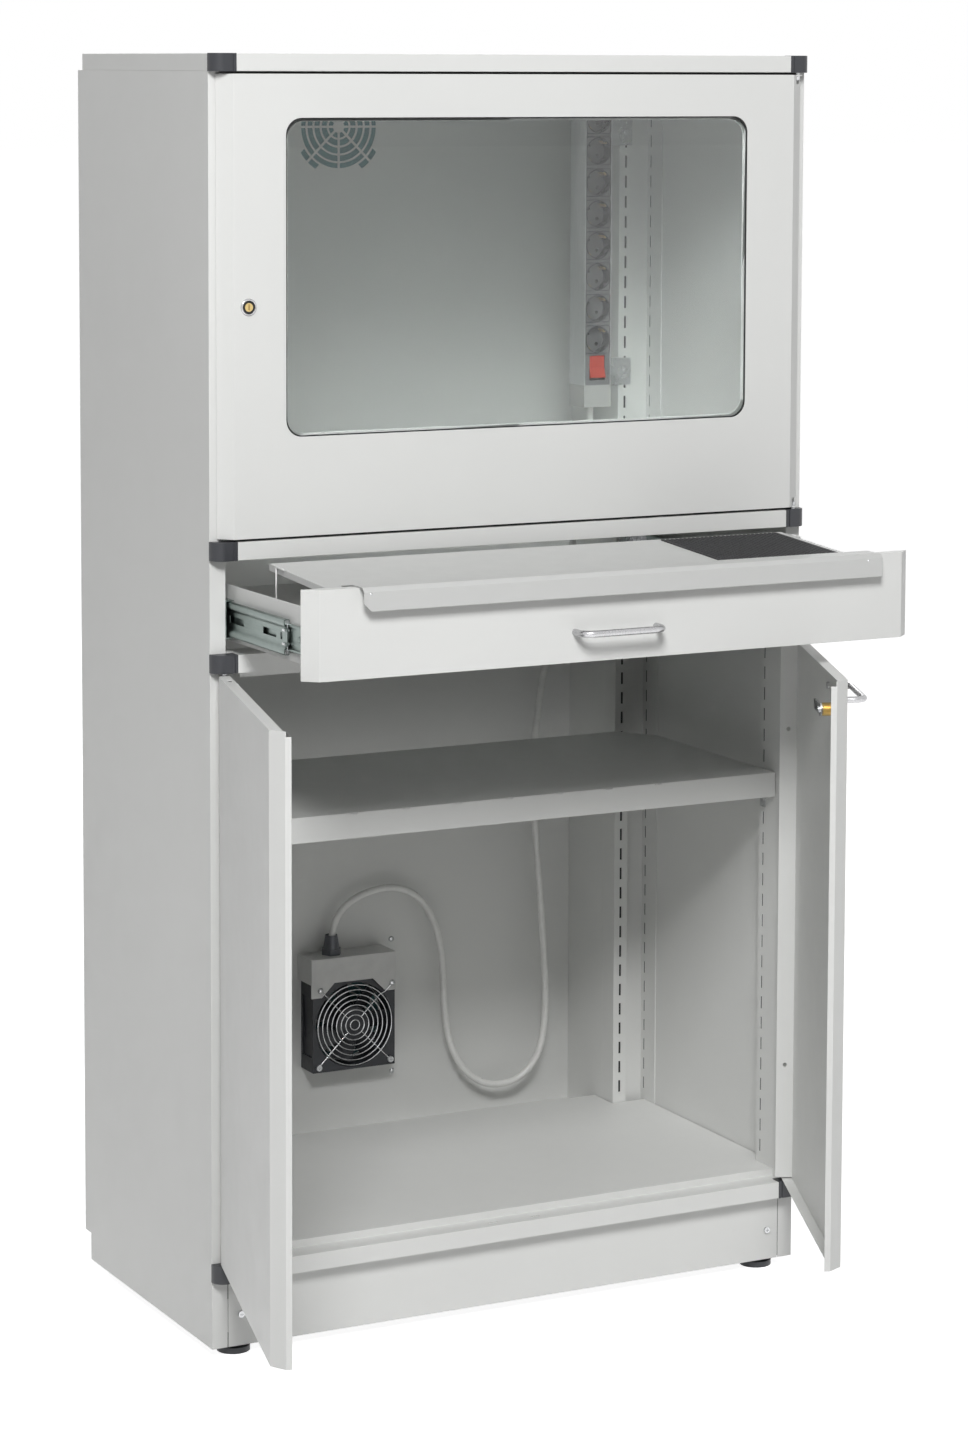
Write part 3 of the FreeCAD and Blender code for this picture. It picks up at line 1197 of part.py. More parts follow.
def rocker_switch():
    """Rocker with its hollow face and its two pivot pins, pressed in at the top."""
    y = SWITCH_Y
    h = SWITCH_HALF
    outline = [(y - 8.5, h), (y - 6, 0), (y - 8.5, -h), (y + 1, -h), (y + 5, -6), (y + 5, 6), (y + 1, h)]
    outline = [(u, SWITCH_Z + v) for u, v in outline]
    body = prism("x", outline, STRIP_X - SWITCH_HALF_WIDTH, STRIP_X + SWITCH_HALF_WIDTH)
    pin_end = SWITCH_HALF_WIDTH + SWITCH_PIN_REACH
    pins = rod("x", SWITCH_Y, SWITCH_Z, SWITCH_PIN, STRIP_X - pin_end, STRIP_X + pin_end)
    return fuse(body, pins).rotated(rocker_pivot(), V(1, 0, 0), -SWITCH_TILT)


def strip_bracket(z):
    """Angle from the strip's side to the rear upright."""
    side = STRIP_X + STRIP_HALF
    half = 18
    leg = box(side, side + PANEL, STRIP_FRONT + 4, REAR_FLANGE_Y, z - half, z + half)
    plate = box(side, REAR_SLOT_X + 8, REAR_FLANGE_Y - PANEL, REAR_FLANGE_Y, z - half, z + half)
    bore = screw_bore("y", REAR_SLOT_X, z, REAR_FLANGE_Y - 5, REAR_FLANGE_Y + 1)
    return cut(fuse(leg, plate), bore)


# ---- write every node ----

os.makedirs("parts", exist_ok=True)

right_side = side_panel()
save("side_panel_right", right_side)
save("side_panel_left", mirrored(right_side))
post = front_upright()
save("front_upright_right", post)
save("front_upright_left", cut(mirrored(post), strike_slot()))
post = rear_upright()
save("rear_upright_left", mirrored(post))
save("rear_upright_right", cut(post, *bracket_bores(STRIP_SCREW_HEIGHTS)))
save("top_cap", top_cap())
save("mid_divider", mid_divider())
save("lower_rail", lower_rail())
save("base_floor", base_floor())
save("rear_cover", rear_cover())

plinth_holes = [screw_bore("y", side * PLINTH_SCREW_X, PLINTH_SCREW_Z, -1, 5) for side in (-1, 1)]
save("plinth_front", plinth(0, SHEET, PLINTH_TOP, plinth_holes))
rear_plinth_y = SIDE_DEPTH - REAR_WEB + 0.8
save("plinth_rear", plinth(rear_plinth_y, rear_plinth_y + SHEET, POST_BOTTOM - 0.5, []))
front_bracket = cut(foot_bracket(FOOT_FRONT, PANEL, FRONT_POST_DEPTH - 3, SHEET,
                                 BRACKET_LOW, BRACKET_HIGH),
                    screw_bore("y", PLINTH_SCREW_X, PLINTH_SCREW_Z, -1, 6))
rear_bracket = foot_bracket(REAR_FOOT_Y, REAR_FOOT_Y - 30, rear_plinth_y - 0.8,
                            rear_plinth_y - 3, REAR_BRACKET_LOW, POST_BOTTOM)
save("foot_brackets", group(front_bracket, mirrored(front_bracket), rear_bracket, mirrored(rear_bracket)))
feet = [(side * (HALF - FOOT_X), y) for side in (-1, 1) for y in (FOOT_FRONT, REAR_FOOT_Y)]
save("foot_pads", group(*[foot_pad(x, y) for x, y in feet]))
save("foot_spindles", group(*[foot_spindle(x, y) for x, y in feet]))

blocks = []
for z0, z1, left_pins, right_pins in (
        (BASE_RAIL_Z, BASE_RAIL_TOP, LOWER_PINS[:1], LOWER_PINS[:1]),
        (LOWER_RAIL_Z, LOWER_RAIL_TOP, LOWER_PINS[1:], LOWER_PINS[1:]),
        (MID_RAIL_Z, MID_RAIL_TOP, (), UPPER_PINS[:1]),
        (CAP_Z, HEIGHT, (), UPPER_PINS[1:])):
    blocks.append(mirrored(corner_block(z0, z1, pin_bores(left_pins))))
    blocks.append(corner_block(z0, z1, pin_bores(right_pins)))
save("corner_blocks", group(*blocks))
lower_pins = [hinge_pin(*pin) for pin in LOWER_PINS]
upper_pins = [hinge_pin(*pin) for pin in UPPER_PINS]
save("hinge_pins", group(*lower_pins, *[mirrored(pin) for pin in lower_pins], *upper_pins))

save("upper_door_leaf", upper_leaf())
save("window_seal", window_seal())
save("window_pane", window_pane())
save("window_frame", window_frame())
upper_lock = lock_set(-HALF + UPPER_LOCK_INSET, UPPER_LOCK_Z, UPPER_CAM_Y, UPPER_CAM_LENGTH, 0)
for name, piece in zip(("housing", "plug", "cam"), upper_lock):
    save(f"upper_lock_{name}", piece)

leaf = lower_leaf()
flange_slot = box(-PIVOT_X + 34, -PIVOT_X + 46, -10, -6, DOOR_TOP - 2 * SHEET, DOOR_TOP + 1)
save("lower_door_left", swung(cut(mirrored(leaf), flange_slot), -1, LEFT_OPEN))
right_lock_z = LOWER_RAIL_Z - RIGHT_LOCK_DROP
door_handle_z = LOWER_RAIL_Z - DOOR_HANDLE_DROP
leaf = cut(leaf, rod("y", RIGHT_LOCK_X, right_lock_z, LOCK_BODY_RADIUS + FIT, -FRONT - 1, SKIN + 1),
           *handle_bores(DOOR_HANDLE_X, door_handle_z))
save("lower_door_right", swung(leaf, 1, RIGHT_OPEN))
right_lock = lock_set(RIGHT_LOCK_X, right_lock_z, RIGHT_CAM_Y, RIGHT_CAM_LENGTH, -90)
for name, piece in zip(("housing", "plug", "cam"), right_lock):
    save(f"right_lock_{name}", swung(piece, 1, RIGHT_OPEN))
handle = group(bow_handle(DOOR_HANDLE_X, door_handle_z), *handle_screws(DOOR_HANDLE_X, door_handle_z))
save("door_handle", swung(handle, 1, RIGHT_OPEN))

save("drawer_front", pulled(drawer_front()))
save("drawer_box", pulled(drawer_box()))
handle = group(bow_handle(DRAWER_HANDLE_X, DRAWER_HANDLE_Z),
               *handle_screws(DRAWER_HANDLE_X, DRAWER_HANDLE_Z))
save("drawer_handle", pulled(handle))
inner = slide_inner()
save("slide_inner_members", pulled(group(inner, mirrored(inner))))
middle, cages = slide_middle()
save("slide_middle_members", pulled(group(middle, mirrored(middle)), MIDDLE_SHARE))
save("ball_cages", pulled(group(*cages, *[mirrored(c) for c in cages]), MIDDLE_SHARE))
outer = slide_outer()
save("slide_outer_members", group(outer, mirrored(outer)))
bracket = slide_bracket()
save("slide_brackets", group(bracket, mirrored(bracket)))
save("keyboard_tray", pulled(keyboard_tray()))
save("mouse_mat", pulled(mouse_mat()))
stay = wire_stay()
save("wire_stays", pulled(group(stay, mirrored(stay))))

save("shelf", shelf())
clips = shelf_clips()
save("shelf_clips", group(*clips, *[mirrored(c) for c in clips]))

save("filter_mats", group(vent_filter(0, VENT_Z), fan_filter()))
save("filter_grilles", group(rear_grille(0, VENT_Z), fan_grille()))
save("fan_frame", fan_frame())
save("fan_rotor", fan_rotor())
save("fan_guard", fan_guard())
save("fan_screws", group(*fan_screws()))
save("junction_box", junction_box())
save("cable_gland", cable_gland())
cord, cord_length, cord_radii = supply_cord()
save("supply_cord", cord)
cord_section = math.pi * CORD ** 2 / 4
print("cord radii", cord_radii, "length", round(cord_length, 1),
      "volume share", round(cord.Volume / cord_section / cord_length, 5))

save("strip_housing", strip_housing())
save("socket_insert", socket_insert())
save("earth_clips", group(*earth_clips()))
save("strip_ends", group(*strip_ends()))
save("rocker_switch", rocker_switch())
save("strip_brackets", group(*[strip_bracket(z) for z in STRIP_SCREW_HEIGHTS]))
case_screws = [screw("y", REAR_SLOT_X, z, REAR_FLANGE_Y - PANEL, 1) for z in STRIP_SCREW_HEIGHTS]
case_screws += [screw("y", side * PLINTH_SCREW_X, PLINTH_SCREW_Z, 0, 1) for side in (-1, 1)]
save("case_screws", group(*case_screws))
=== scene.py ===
import json
import math

import bmesh
import bpy
from mathutils import Euler, Matrix, Vector


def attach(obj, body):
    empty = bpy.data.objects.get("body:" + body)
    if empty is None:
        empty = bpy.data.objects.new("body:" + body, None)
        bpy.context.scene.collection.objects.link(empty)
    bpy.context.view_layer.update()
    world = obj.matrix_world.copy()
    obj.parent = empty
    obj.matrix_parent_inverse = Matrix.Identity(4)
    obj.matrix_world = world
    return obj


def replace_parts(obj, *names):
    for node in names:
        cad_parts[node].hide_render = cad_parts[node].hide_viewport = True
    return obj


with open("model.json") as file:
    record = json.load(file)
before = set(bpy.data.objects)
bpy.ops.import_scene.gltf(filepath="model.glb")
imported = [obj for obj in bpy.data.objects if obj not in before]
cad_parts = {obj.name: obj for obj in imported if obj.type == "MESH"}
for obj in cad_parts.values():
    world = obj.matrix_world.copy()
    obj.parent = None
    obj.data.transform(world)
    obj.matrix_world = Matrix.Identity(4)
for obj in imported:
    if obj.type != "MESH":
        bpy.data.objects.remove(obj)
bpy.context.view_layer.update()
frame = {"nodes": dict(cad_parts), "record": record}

# A steel computer armoire in a plain pale studio. The scene is in metres, +Z up and -Y out
# of the front. The places and sizes of the detailed pieces are given in millimetres.

MM = 0.001


def add(name, data):
    """Put a new object into the scene."""
    made = bpy.data.objects.new(name, data)
    bpy.context.scene.collection.objects.link(made)
    return made


# ---- camera ----

# angles in radians and place in metres, fitted to the photo
YAW = 0.4788327
PITCH = 0.0952687
ROLL = -0.0034007
EYE = (-2.13420, -4.21899, 1.51743)
IMAGE_HEIGHT = 1435
FOCAL_PIXELS = 3822.085
PRINCIPAL_ROW = 430.5
SENSOR = 36.0


def make_camera():
    data = bpy.data.cameras.new("camera")
    data.sensor_width = SENSOR
    data.sensor_fit = "AUTO"
    data.lens = SENSOR * FOCAL_PIXELS / IMAGE_HEIGHT
    data.shift_y = (PRINCIPAL_ROW - IMAGE_HEIGHT / 2) / IMAGE_HEIGHT
    camera = add("camera", data)
    turn = Euler((math.pi / 2 - PITCH, 0, -YAW)).to_matrix() @ Matrix.Rotation(-ROLL, 3, "Z")
    camera.matrix_world = Matrix.Translation(EYE) @ turn.to_4x4()
    bpy.context.scene.camera = camera


# ---- materials ----

# most of a noise's values lie between these two
NOISE_LOW = 0.3
NOISE_HIGH = 0.7


def shade(colour, factor):
    return tuple(min(1.0, channel * factor) for channel in colour)


class Shader:
    """A material's node tree with one Principled shader."""

    def __init__(self, name):
        self.material = bpy.data.materials.new(name)
        self.material.use_nodes = True
        self.tree = self.material.node_tree
        self.tree.nodes.clear()
        self.output = self.tree.nodes.new("ShaderNodeOutputMaterial")
        self.main = self.tree.nodes.new("ShaderNodeBsdfPrincipled")
        self.tree.links.new(self.main.outputs[0], self.output.inputs[0])
        self.place = self.tree.nodes.new("ShaderNodeTexCoord").outputs["Object"]

    def node(self, kind):
        return self.tree.nodes.new("ShaderNode" + kind)

    def join(self, source, target):
        self.tree.links.new(source, target)

    def noise(self, scale, detail=2.0, rough=0.5, stretch=None):
        made = self.node("TexNoise")
        made.inputs["Scale"].default_value = scale
        made.inputs["Detail"].default_value = detail
        made.inputs["Roughness"].default_value = rough
        place = self.place
        if stretch:
            scaled = self.node("Mapping")
            scaled.inputs["Scale"].default_value = stretch
            self.join(self.place, scaled.inputs["Vector"])
            place = scaled.outputs[0]
        self.join(place, made.inputs["Vector"])
        return made.outputs["Fac"]

    def colours(self, source, stops):
        """Base colour that follows a noise through (place, colour) stops."""
        made = self.node("ValToRGB")
        for element, (place, colour) in zip(made.color_ramp.elements, stops):
            element.position = place
            element.color = (*colour, 1.0)
        self.join(source, made.inputs["Fac"])
        self.join(made.outputs["Color"], self.main.inputs["Base Color"])

    def shades(self, source, colour, dark, light, start=NOISE_LOW, end=NOISE_HIGH):
        """Base colour that follows a noise from a darker to a lighter shade."""
        self.colours(source, [(start, shade(colour, dark)), (end, shade(colour, light))])

    def roughness(self, source, low, high):
        made = self.node("MapRange")
        made.inputs["From Min"].default_value = NOISE_LOW
        made.inputs["From Max"].default_value = NOISE_HIGH
        made.inputs["To Min"].default_value = low
        made.inputs["To Max"].default_value = high
        self.join(source, made.inputs["Value"])
        self.join(made.outputs["Result"], self.main.inputs["Roughness"])

    def bump(self, height, strength, distance, under=None):
        made = self.node("Bump")
        made.inputs["Strength"].default_value = strength
        made.inputs["Distance"].default_value = distance
        self.join(height, made.inputs["Height"])
        if under:
            self.join(under, made.inputs["Normal"])
        return made.outputs["Normal"]

    def normal(self, source):
        self.join(source, self.main.inputs["Normal"])

    def set(self, **values):
        for key, value in values.items():
            self.main.inputs[key.replace("_", " ")].default_value = value


def powder_coat(name, colour):
    """Satin powder coat: fine orange peel, faint cloudiness and small changes in gloss."""
    s = Shader(name)
    s.shades(s.noise(2.2, detail=3.0), colour, dark=0.975, light=1.02)
    s.roughness(s.noise(35.0, detail=4.0), low=0.37, high=0.47)
    peel = s.bump(s.noise(420.0), strength=0.05, distance=0.0002)
    s.normal(s.bump(s.noise(1500.0), strength=0.08, distance=0.0001, under=peel))
    s.set(Specular_IOR_Level=0.45)
    return s.material


def moulded_plastic(name, colour, rough, grain=900.0, depth=0.18):
    """Injection-moulded plastic with an etched grain."""
    s = Shader(name)
    s.shades(s.noise(60.0, detail=3.0), colour, dark=0.96, light=1.04)
    s.roughness(s.noise(180.0, detail=3.0), low=rough - 0.06, high=rough + 0.08)
    s.normal(s.bump(s.noise(grain, detail=3.0), strength=depth, distance=0.0002))
    return s.material


def zinc_plate(name, colour, rough=0.28):
    """Bright zinc plating: mottled gloss, faint rolling lines and stains."""
    s = Shader(name)
    s.shades(s.noise(28.0, detail=4.0, rough=0.6), colour, dark=0.8, light=1.0, end=0.62)
    s.roughness(s.noise(90.0, detail=4.0, rough=0.6), low=rough - 0.1, high=rough + 0.16)
    along = s.noise(1200.0, stretch=(1.0, 0.02, 1.0))
    lines = s.bump(along, strength=0.15, distance=0.0001)
    s.normal(s.bump(s.noise(260.0, detail=3.0), strength=0.1, distance=0.0002, under=lines))
    s.set(Metallic=1.0)
    return s.material


def satin_metal(name, colour, rough, stretch):
    """Polished or brushed metal with fine lines along its run."""
    s = Shader(name)
    lines = s.noise(1600.0, stretch=stretch)
    s.shades(lines, colour, dark=0.9, light=1.04)
    s.roughness(s.noise(120.0, detail=3.0), low=rough - 0.04, high=rough + 0.06)
    s.normal(s.bump(lines, strength=0.12, distance=0.0001))
    s.set(Metallic=1.0)
    return s.material


def rubber(name, colour):
    """Matt rubber with a fine grain and pale dust."""
    s = Shader(name)
    s.shades(s.noise(220.0, detail=4.0), colour, dark=0.8, light=1.5, end=0.75)
    s.roughness(s.noise(400.0, detail=3.0), low=0.64, high=0.82)
    s.normal(s.bump(s.noise(1400.0, detail=3.0), strength=0.3, distance=0.0002))
    return s.material


def fleece(name, colour):
    """Open filter fleece: fibres in all directions, with dark pores."""
    s = Shader(name)
    fibres = s.noise(900.0, detail=5.0, rough=0.7)
    s.shades(fibres, colour, dark=0.55, light=1.5, start=0.35)
    s.normal(s.bump(fibres, strength=0.8, distance=0.0008))
    s.set(Roughness=0.95, Sheen_Weight=0.2)
    return s.material


def pane_glass(name):
    """Clear pane that lets the lamps through, with faint waviness."""
    s = Shader(name)
    s.colours(s.noise(3.0), [(NOISE_LOW, (0.93, 0.96, 0.95)), (NOISE_HIGH, (0.96, 0.98, 0.97))])
    s.normal(s.bump(s.noise(6.0, detail=1.0), strength=0.02, distance=0.0005))
    s.set(Transmission_Weight=1.0, Roughness=0.01, IOR=1.46)
    path = s.node("LightPath")
    clear = s.node("BsdfTransparent")
    # the lamps' light through the pane is cut to about half: painted shade in the compartment
    # behind the glass
    clear.inputs["Color"].default_value = (0.55, 0.57, 0.56, 1.0)
    mix = s.node("MixShader")
    s.join(path.outputs["Is Shadow Ray"], mix.inputs["Fac"])
    s.join(s.main.outputs[0], mix.inputs[1])
    s.join(clear.outputs[0], mix.inputs[2])
    s.join(mix.outputs[0], s.output.inputs[0])
    return s.material


PAINT = (0.765, 0.77, 0.755)
# the case's grey made darker for the keyboard tray: painted shade for its lip, which faces down
# away from the key lamp
SHADED_TRAY_PAINT = (0.60, 0.605, 0.595)
CHARCOAL = (0.035, 0.037, 0.043)
ZINC = (0.62, 0.63, 0.64)

# how the lines of a brushed metal are drawn out: a small scale gives long lines
AROUND_X = (1.0, 0.05, 0.05)
ALONG_Y = (1.0, 0.02, 1.0)
ALONG_Z = (1.0, 1.0, 0.02)
TURNED = (1.0, 0.2, 1.0)

MATERIALS = {
    "grey_paint": powder_coat("grey_paint", PAINT),
    "black_plastic": moulded_plastic("black_plastic", CHARCOAL, 0.38),
    "zinc": zinc_plate("zinc", ZINC),
    "cage_plastic": moulded_plastic("cage_plastic", (0.5, 0.58, 0.53), 0.4),
    "chrome": satin_metal("chrome", (0.52, 0.52, 0.53), 0.26, AROUND_X),
    "brass": satin_metal("brass", (0.72, 0.55, 0.25), 0.3, TURNED),
    "glass": pane_glass("glass"),
    "black_rubber": rubber("black_rubber", (0.02, 0.02, 0.022)),
    "grey_plastic": moulded_plastic("grey_plastic", (0.50, 0.50, 0.49), 0.45),
    # the fleece's teal is made lighter than its own as painted light, for the light that comes
    # through the mat from behind
    "filter_green": fleece("filter_green", (0.15, 0.30, 0.32)),
    "strip_metal": satin_metal("strip_metal", (0.72, 0.73, 0.74), 0.35, ALONG_Z),
    "red_plastic": moulded_plastic("red_plastic", (0.62, 0.05, 0.02), 0.2),
}

# nodes whose look differs from the rest of their slot
OWN_LOOK = {
    "slide_outer_members": satin_metal("slide_zinc", (0.25, 0.295, 0.28), 0.32, ALONG_Y),
    "socket_insert": moulded_plastic("socket_plastic", (0.22, 0.22, 0.225), 0.4),
    "cable_gland": moulded_plastic("gland_plastic", (0.12, 0.125, 0.14), 0.4),
    "window_seal": rubber("window_seal", (0.012, 0.012, 0.013)),
    # keyboard tray: the darker paint is painted shade
    "keyboard_tray": powder_coat("shaded_tray_paint", SHADED_TRAY_PAINT),
    "junction_box": moulded_plastic("box_plastic", (0.66, 0.66, 0.65), 0.45),
    "wire_stays": zinc_plate("stay_zinc", (0.9, 0.9, 0.9), 0.42),
}
for name in ("slide_middle_members", "slide_inner_members"):
    OWN_LOOK[name] = OWN_LOOK["slide_outer_members"]


def dress_nodes():
    """Give each node the look of its slot, or its own."""
    slots = {part["node"]: part["material_slot"] for part in frame["record"]["subparts"]}
    for name, obj in frame["nodes"].items():
        look = OWN_LOOK.get(name) or MATERIALS[slots[name]]
        for slot in obj.material_slots:
            slot.material = look


# ---- edges of the sheet parts ----

# lower_rail is left out: with a bevel it touches the closed left door
SHEET_NODES = ("upper_door_leaf", "lower_door_left", "lower_door_right", "drawer_front",
               "top_cap", "mid_divider", "base_floor", "shelf", "keyboard_tray",
               "plinth_front", "corner_blocks", "window_frame", "side_panel_left",
               "side_panel_right", "drawer_box")
WELD_REACH = 0.002 * MM
FLAT_WITHIN = math.radians(0.5)
EDGE = 0.45 * MM
EDGE_ANGLE = math.radians(35)


def soften(name):
    """Merge the doubled points of a sheet part and round its edges a little."""
    obj = frame["nodes"][name]
    weld = obj.modifiers.new("weld", "WELD")
    weld.merge_threshold = WELD_REACH
    flat = obj.modifiers.new("flat", "DECIMATE")
    flat.decimate_type = "DISSOLVE"
    flat.angle_limit = FLAT_WITHIN
    bevel = obj.modifiers.new("bevel", "BEVEL")
    bevel.width = EDGE
    bevel.segments = 2
    bevel.limit_method = "ANGLE"
    bevel.angle_limit = EDGE_ANGLE
    bevel.use_clamp_overlap = False
    normals = obj.modifiers.new("normals", "WEIGHTED_NORMAL")
    normals.weight = 100


# ---- cord ----

CORD_DIAMETER = 9 * MM
# from the gland, round the loop beside the fan, up behind the shelf to the power strip
CORD_ROUTE = [
    (-20, 287.5, 349), (-20, 287.5, 376), (-8, 287.5, 402), (20, 287.5, 421),
    (66, 287.5, 429), (103, 287.5, 415.5), (126, 287.5, 389), (141.4, 287.5, 345),
    (145.4, 287.5, 299.8), (147, 287.5, 253), (154, 285.5, 205), (174, 282.5, 165),
    (208, 278.5, 141), (250, 274.5, 143), (280, 270.5, 170), (290, 267.5, 212),
    (291, 265.5, 262), (287, 264.5, 325), (281, 263.5, 400), (273, 262.5, 480),
    (268, 262, 556), (271.6, 262.5, 630), (284.5, 261.5, 710), (299, 255.5, 790),
    (309, 237.5, 864), (312, 211.5, 932), (308, 187.5, 994), (302, 172.5, 1040),
    (302, 172.5, 1079)]


def make_cord():
    data = bpy.data.curves.new("supply_cable", "CURVE")
    data.dimensions = "3D"
    data.bevel_depth = CORD_DIAMETER / 2
    data.bevel_resolution = 6
    data.resolution_u = 12
    spline = data.splines.new("NURBS")
    spline.points.add(len(CORD_ROUTE) - 1)
    for point, place in zip(spline.points, CORD_ROUTE):
        point.co = (*(Vector(place) * MM), 1.0)
    spline.order_u = 3
    spline.use_endpoint_u = True
    cord = add("supply_cable", data)
    sheath = moulded_plastic("cable_sheath", (0.86, 0.86, 0.84), 0.32, grain=500.0, depth=0.1)
    cord.data.materials.append(sheath)
    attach(cord, "case")
    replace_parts(cord, "supply_cord")


# ---- how detailed pieces are made ----

SHARP_ANGLE = math.radians(38)
FRONT = (0, -1, 0)
# a turned solid keeps a pinhole of this radius on its axis
AXIS_HOLE = 0.05


def finished(name, shape, material, body):
    """Make a piece of a bmesh: it rides on a body and takes the given material."""
    bmesh.ops.recalc_face_normals(shape, faces=shape.faces)
    mesh = bpy.data.meshes.new(name)
    shape.to_mesh(mesh)
    shape.free()
    for face in mesh.polygons:
        face.use_smooth = True
    mesh.set_sharp_from_angle(angle=SHARP_ANGLE)
    piece = add(name, mesh)
    mesh.materials.append(material)
    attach(piece, body)
    return piece


def full_turn(steps):
    """The angles of even steps round a circle."""
    return [2 * math.pi * k / steps for k in range(steps)]


def circle(x, y, z, radius, steps):
    """Points round a circle that faces the front."""
    return [(x + radius * math.cos(a), y, z + radius * math.sin(a)) for a in full_turn(steps)]


def skin(shape, rings, closed=False):
    """Join rings of points. A run that is not closed gets a face at each end."""
    pairs = list(zip(rings, rings[1:])) + ([(rings[-1], rings[0])] if closed else [])
    for low, high in pairs:
        for k in range(len(low)):
            n = (k + 1) % len(low)
            shape.faces.new((low[k], low[n], high[n], high[k]))
    if not closed:
        shape.faces.new(rings[0])
        shape.faces.new(rings[-1])


def wire(shape, route, radius, closed=False, sides=10):
    """Add a round wire along a route."""
    points = [Vector(point) * MM for point in route]
    normal = None
    rings = []
    for i, point in enumerate(points):
        before = points[i - 1] if i or closed else point
        after = points[(i + 1) % len(points)] if closed or i < len(points) - 1 else point
        way = (after - before).normalized()
        normal = normal - way * normal.dot(way) if normal else way.orthogonal()
        normal.normalize()
        other = way.cross(normal)
        out = [normal * math.cos(a) + other * math.sin(a) for a in full_turn(sides)]
        rings.append([shape.verts.new(point + step * radius * MM) for step in out])
    skin(shape, rings, closed)


def lathe(shape, profile, centre, axis, sides=32):
    """Turn a closed profile of (radius, height along the axis) points."""
    centre = Vector(centre)
    axis = Vector(axis).normalized()
    u = axis.orthogonal().normalized()
    v = axis.cross(u)
    out = [u * math.cos(a) + v * math.sin(a) for a in full_turn(sides)]
    rings = [[shape.verts.new((centre + axis * height + step * radius) * MM) for step in out]
             for radius, height in profile]
    skin(shape, rings, True)


def plate(shape, centre, half):
    """Add a thin plate by its middle and its half sizes."""
    centre, half = Vector(centre), Vector(half)
    corners = ((-1, -1), (1, -1), (1, 1), (-1, 1))
    rings = [[shape.verts.new((centre + Vector((dx * half.x, dy * half.y, dz * half.z))) * MM)
              for dx, dy in corners] for dz in (-1, 1)]
    skin(shape, rings)


def dimple(shape, centre, out, radius, rise):
    """Add a low domed rivet or screw head."""
    lathe(shape, [(AXIS_HOLE, rise), (radius * 0.6, rise * 0.85), (radius, rise * 0.3),
                  (radius * 1.05, 0.0), (AXIS_HOLE, 0.0)], centre, out, sides=16)


# ---- drawer slides ----

SLIDE_HEIGHT = 877.5
ROLLED_SHEET = 1.1

# upper halves of the sections' middle lines, as (x, height over the slide's middle)
MIDDLE_LINE = [(369.7, 16.9), (369.7, 20.15), (376.1, 20.15), (376.1, 13.4), (371.9, 10.2),
               (371.9, 4.0)]
INNER_LINE = [(371.0, 12.6), (371.0, 15.1), (367.7, 15.1), (367.7, 4.0)]
MIDDLE_FRONT = -347.5
MIDDLE_BACK = -8.0
INNER_FRONT = -434.8
INNER_BACK = -97.5

# slots in the middle member's web, from its front end
SLOT_SPANS = [(13, 18), (30, 66), (120, 160), (210, 250), (290, 315)]

RIVET_X = 368.2
RIVET_YS = (-405.0, -372.0, -250.0, -130.0)
RIVET_HEAD = [(AXIS_HOLE, 2.2), (2.2, 2.0), (3.6, 1.1), (3.8, 0.1), (AXIS_HOLE, 0.1)]

# tabs of the ball cages: their heights over or under the slide's middle, and how far they
# reach past the foot of the bent end
CAGE_TABS = ((14.6, 19.2, 1.6), (6.5, 9.0, 4.6))
CAGE_END_XS = (369.4, 375.2, 375.6)
CAGE_START = 0.2
CAGE_FOOT = 3
CAGE_WIRE_X = 371.6
CAGE_WIRE_START = 1.0
CAGE_WIRE_ZS = (-19, -10, 0, 10, 19)


def rounded(points):
    """Cut the corners of an open line twice, keeping its ends."""
    for _ in range(2):
        line = [points[0]]
        for (x0, z0), (x1, z1) in zip(points, points[1:]):
            line.append((x0 * 0.75 + x1 * 0.25, z0 * 0.75 + z1 * 0.25))
            line.append((x0 * 0.25 + x1 * 0.75, z0 * 0.25 + z1 * 0.75))
        points = line + [points[-1]]
    return points


def offset(points, distance):
    """The line that runs beside another one."""
    line = []
    for i, (x, z) in enumerate(points):
        x0, z0 = points[max(i - 1, 0)]
        x1, z1 = points[min(i + 1, len(points) - 1)]
        length = math.hypot(x1 - x0, z1 - z0)
        line.append((x - (z1 - z0) / length * distance, z + (x1 - x0) / length * distance))
    return line


def rolled_member(shape, side, upper, stops, open_spans):
    """A rolled steel section on one side (1 or -1): the upper half of its middle line from
    its edge to the web, mirrored below, pushed along stops in y. The web is slotted in the
    open spans between the stops."""
    half = rounded(upper) + [upper[-1]]
    line = half + [(x, -z) for x, z in half[::-1]]
    middle = len(half) - 1
    skins = []
    for distance in (-ROLLED_SHEET / 2, ROLLED_SHEET / 2):
        outline = offset(line, distance)
        skins.append([[shape.verts.new(Vector((side * x, y, SLIDE_HEIGHT + z)) * MM)
                       for x, z in outline] for y in stops])
    count = len(line)
    outer, inner = skins

    def wall(a, b, c, d):
        shape.faces.new((a, b, c, d))

    for k in range(len(stops) - 1):
        for i in range(count - 1):
            if open_spans[k] and i == middle:
                for edge in (i, i + 1):
                    wall(outer[k][edge], outer[k + 1][edge], inner[k + 1][edge], inner[k][edge])
                for end in (k, k + 1):
                    wall(outer[end][i], outer[end][i + 1], inner[end][i + 1], inner[end][i])
                continue
            for sheet in skins:
                wall(sheet[k][i], sheet[k][i + 1], sheet[k + 1][i + 1], sheet[k + 1][i])
        for i in (0, count - 1):
            wall(outer[k][i], outer[k + 1][i], inner[k + 1][i], inner[k][i])
    for k in (0, len(stops) - 1):
        for i in range(count - 1):
            wall(outer[k][i], outer[k][i + 1], inner[k][i + 1], inner[k][i])


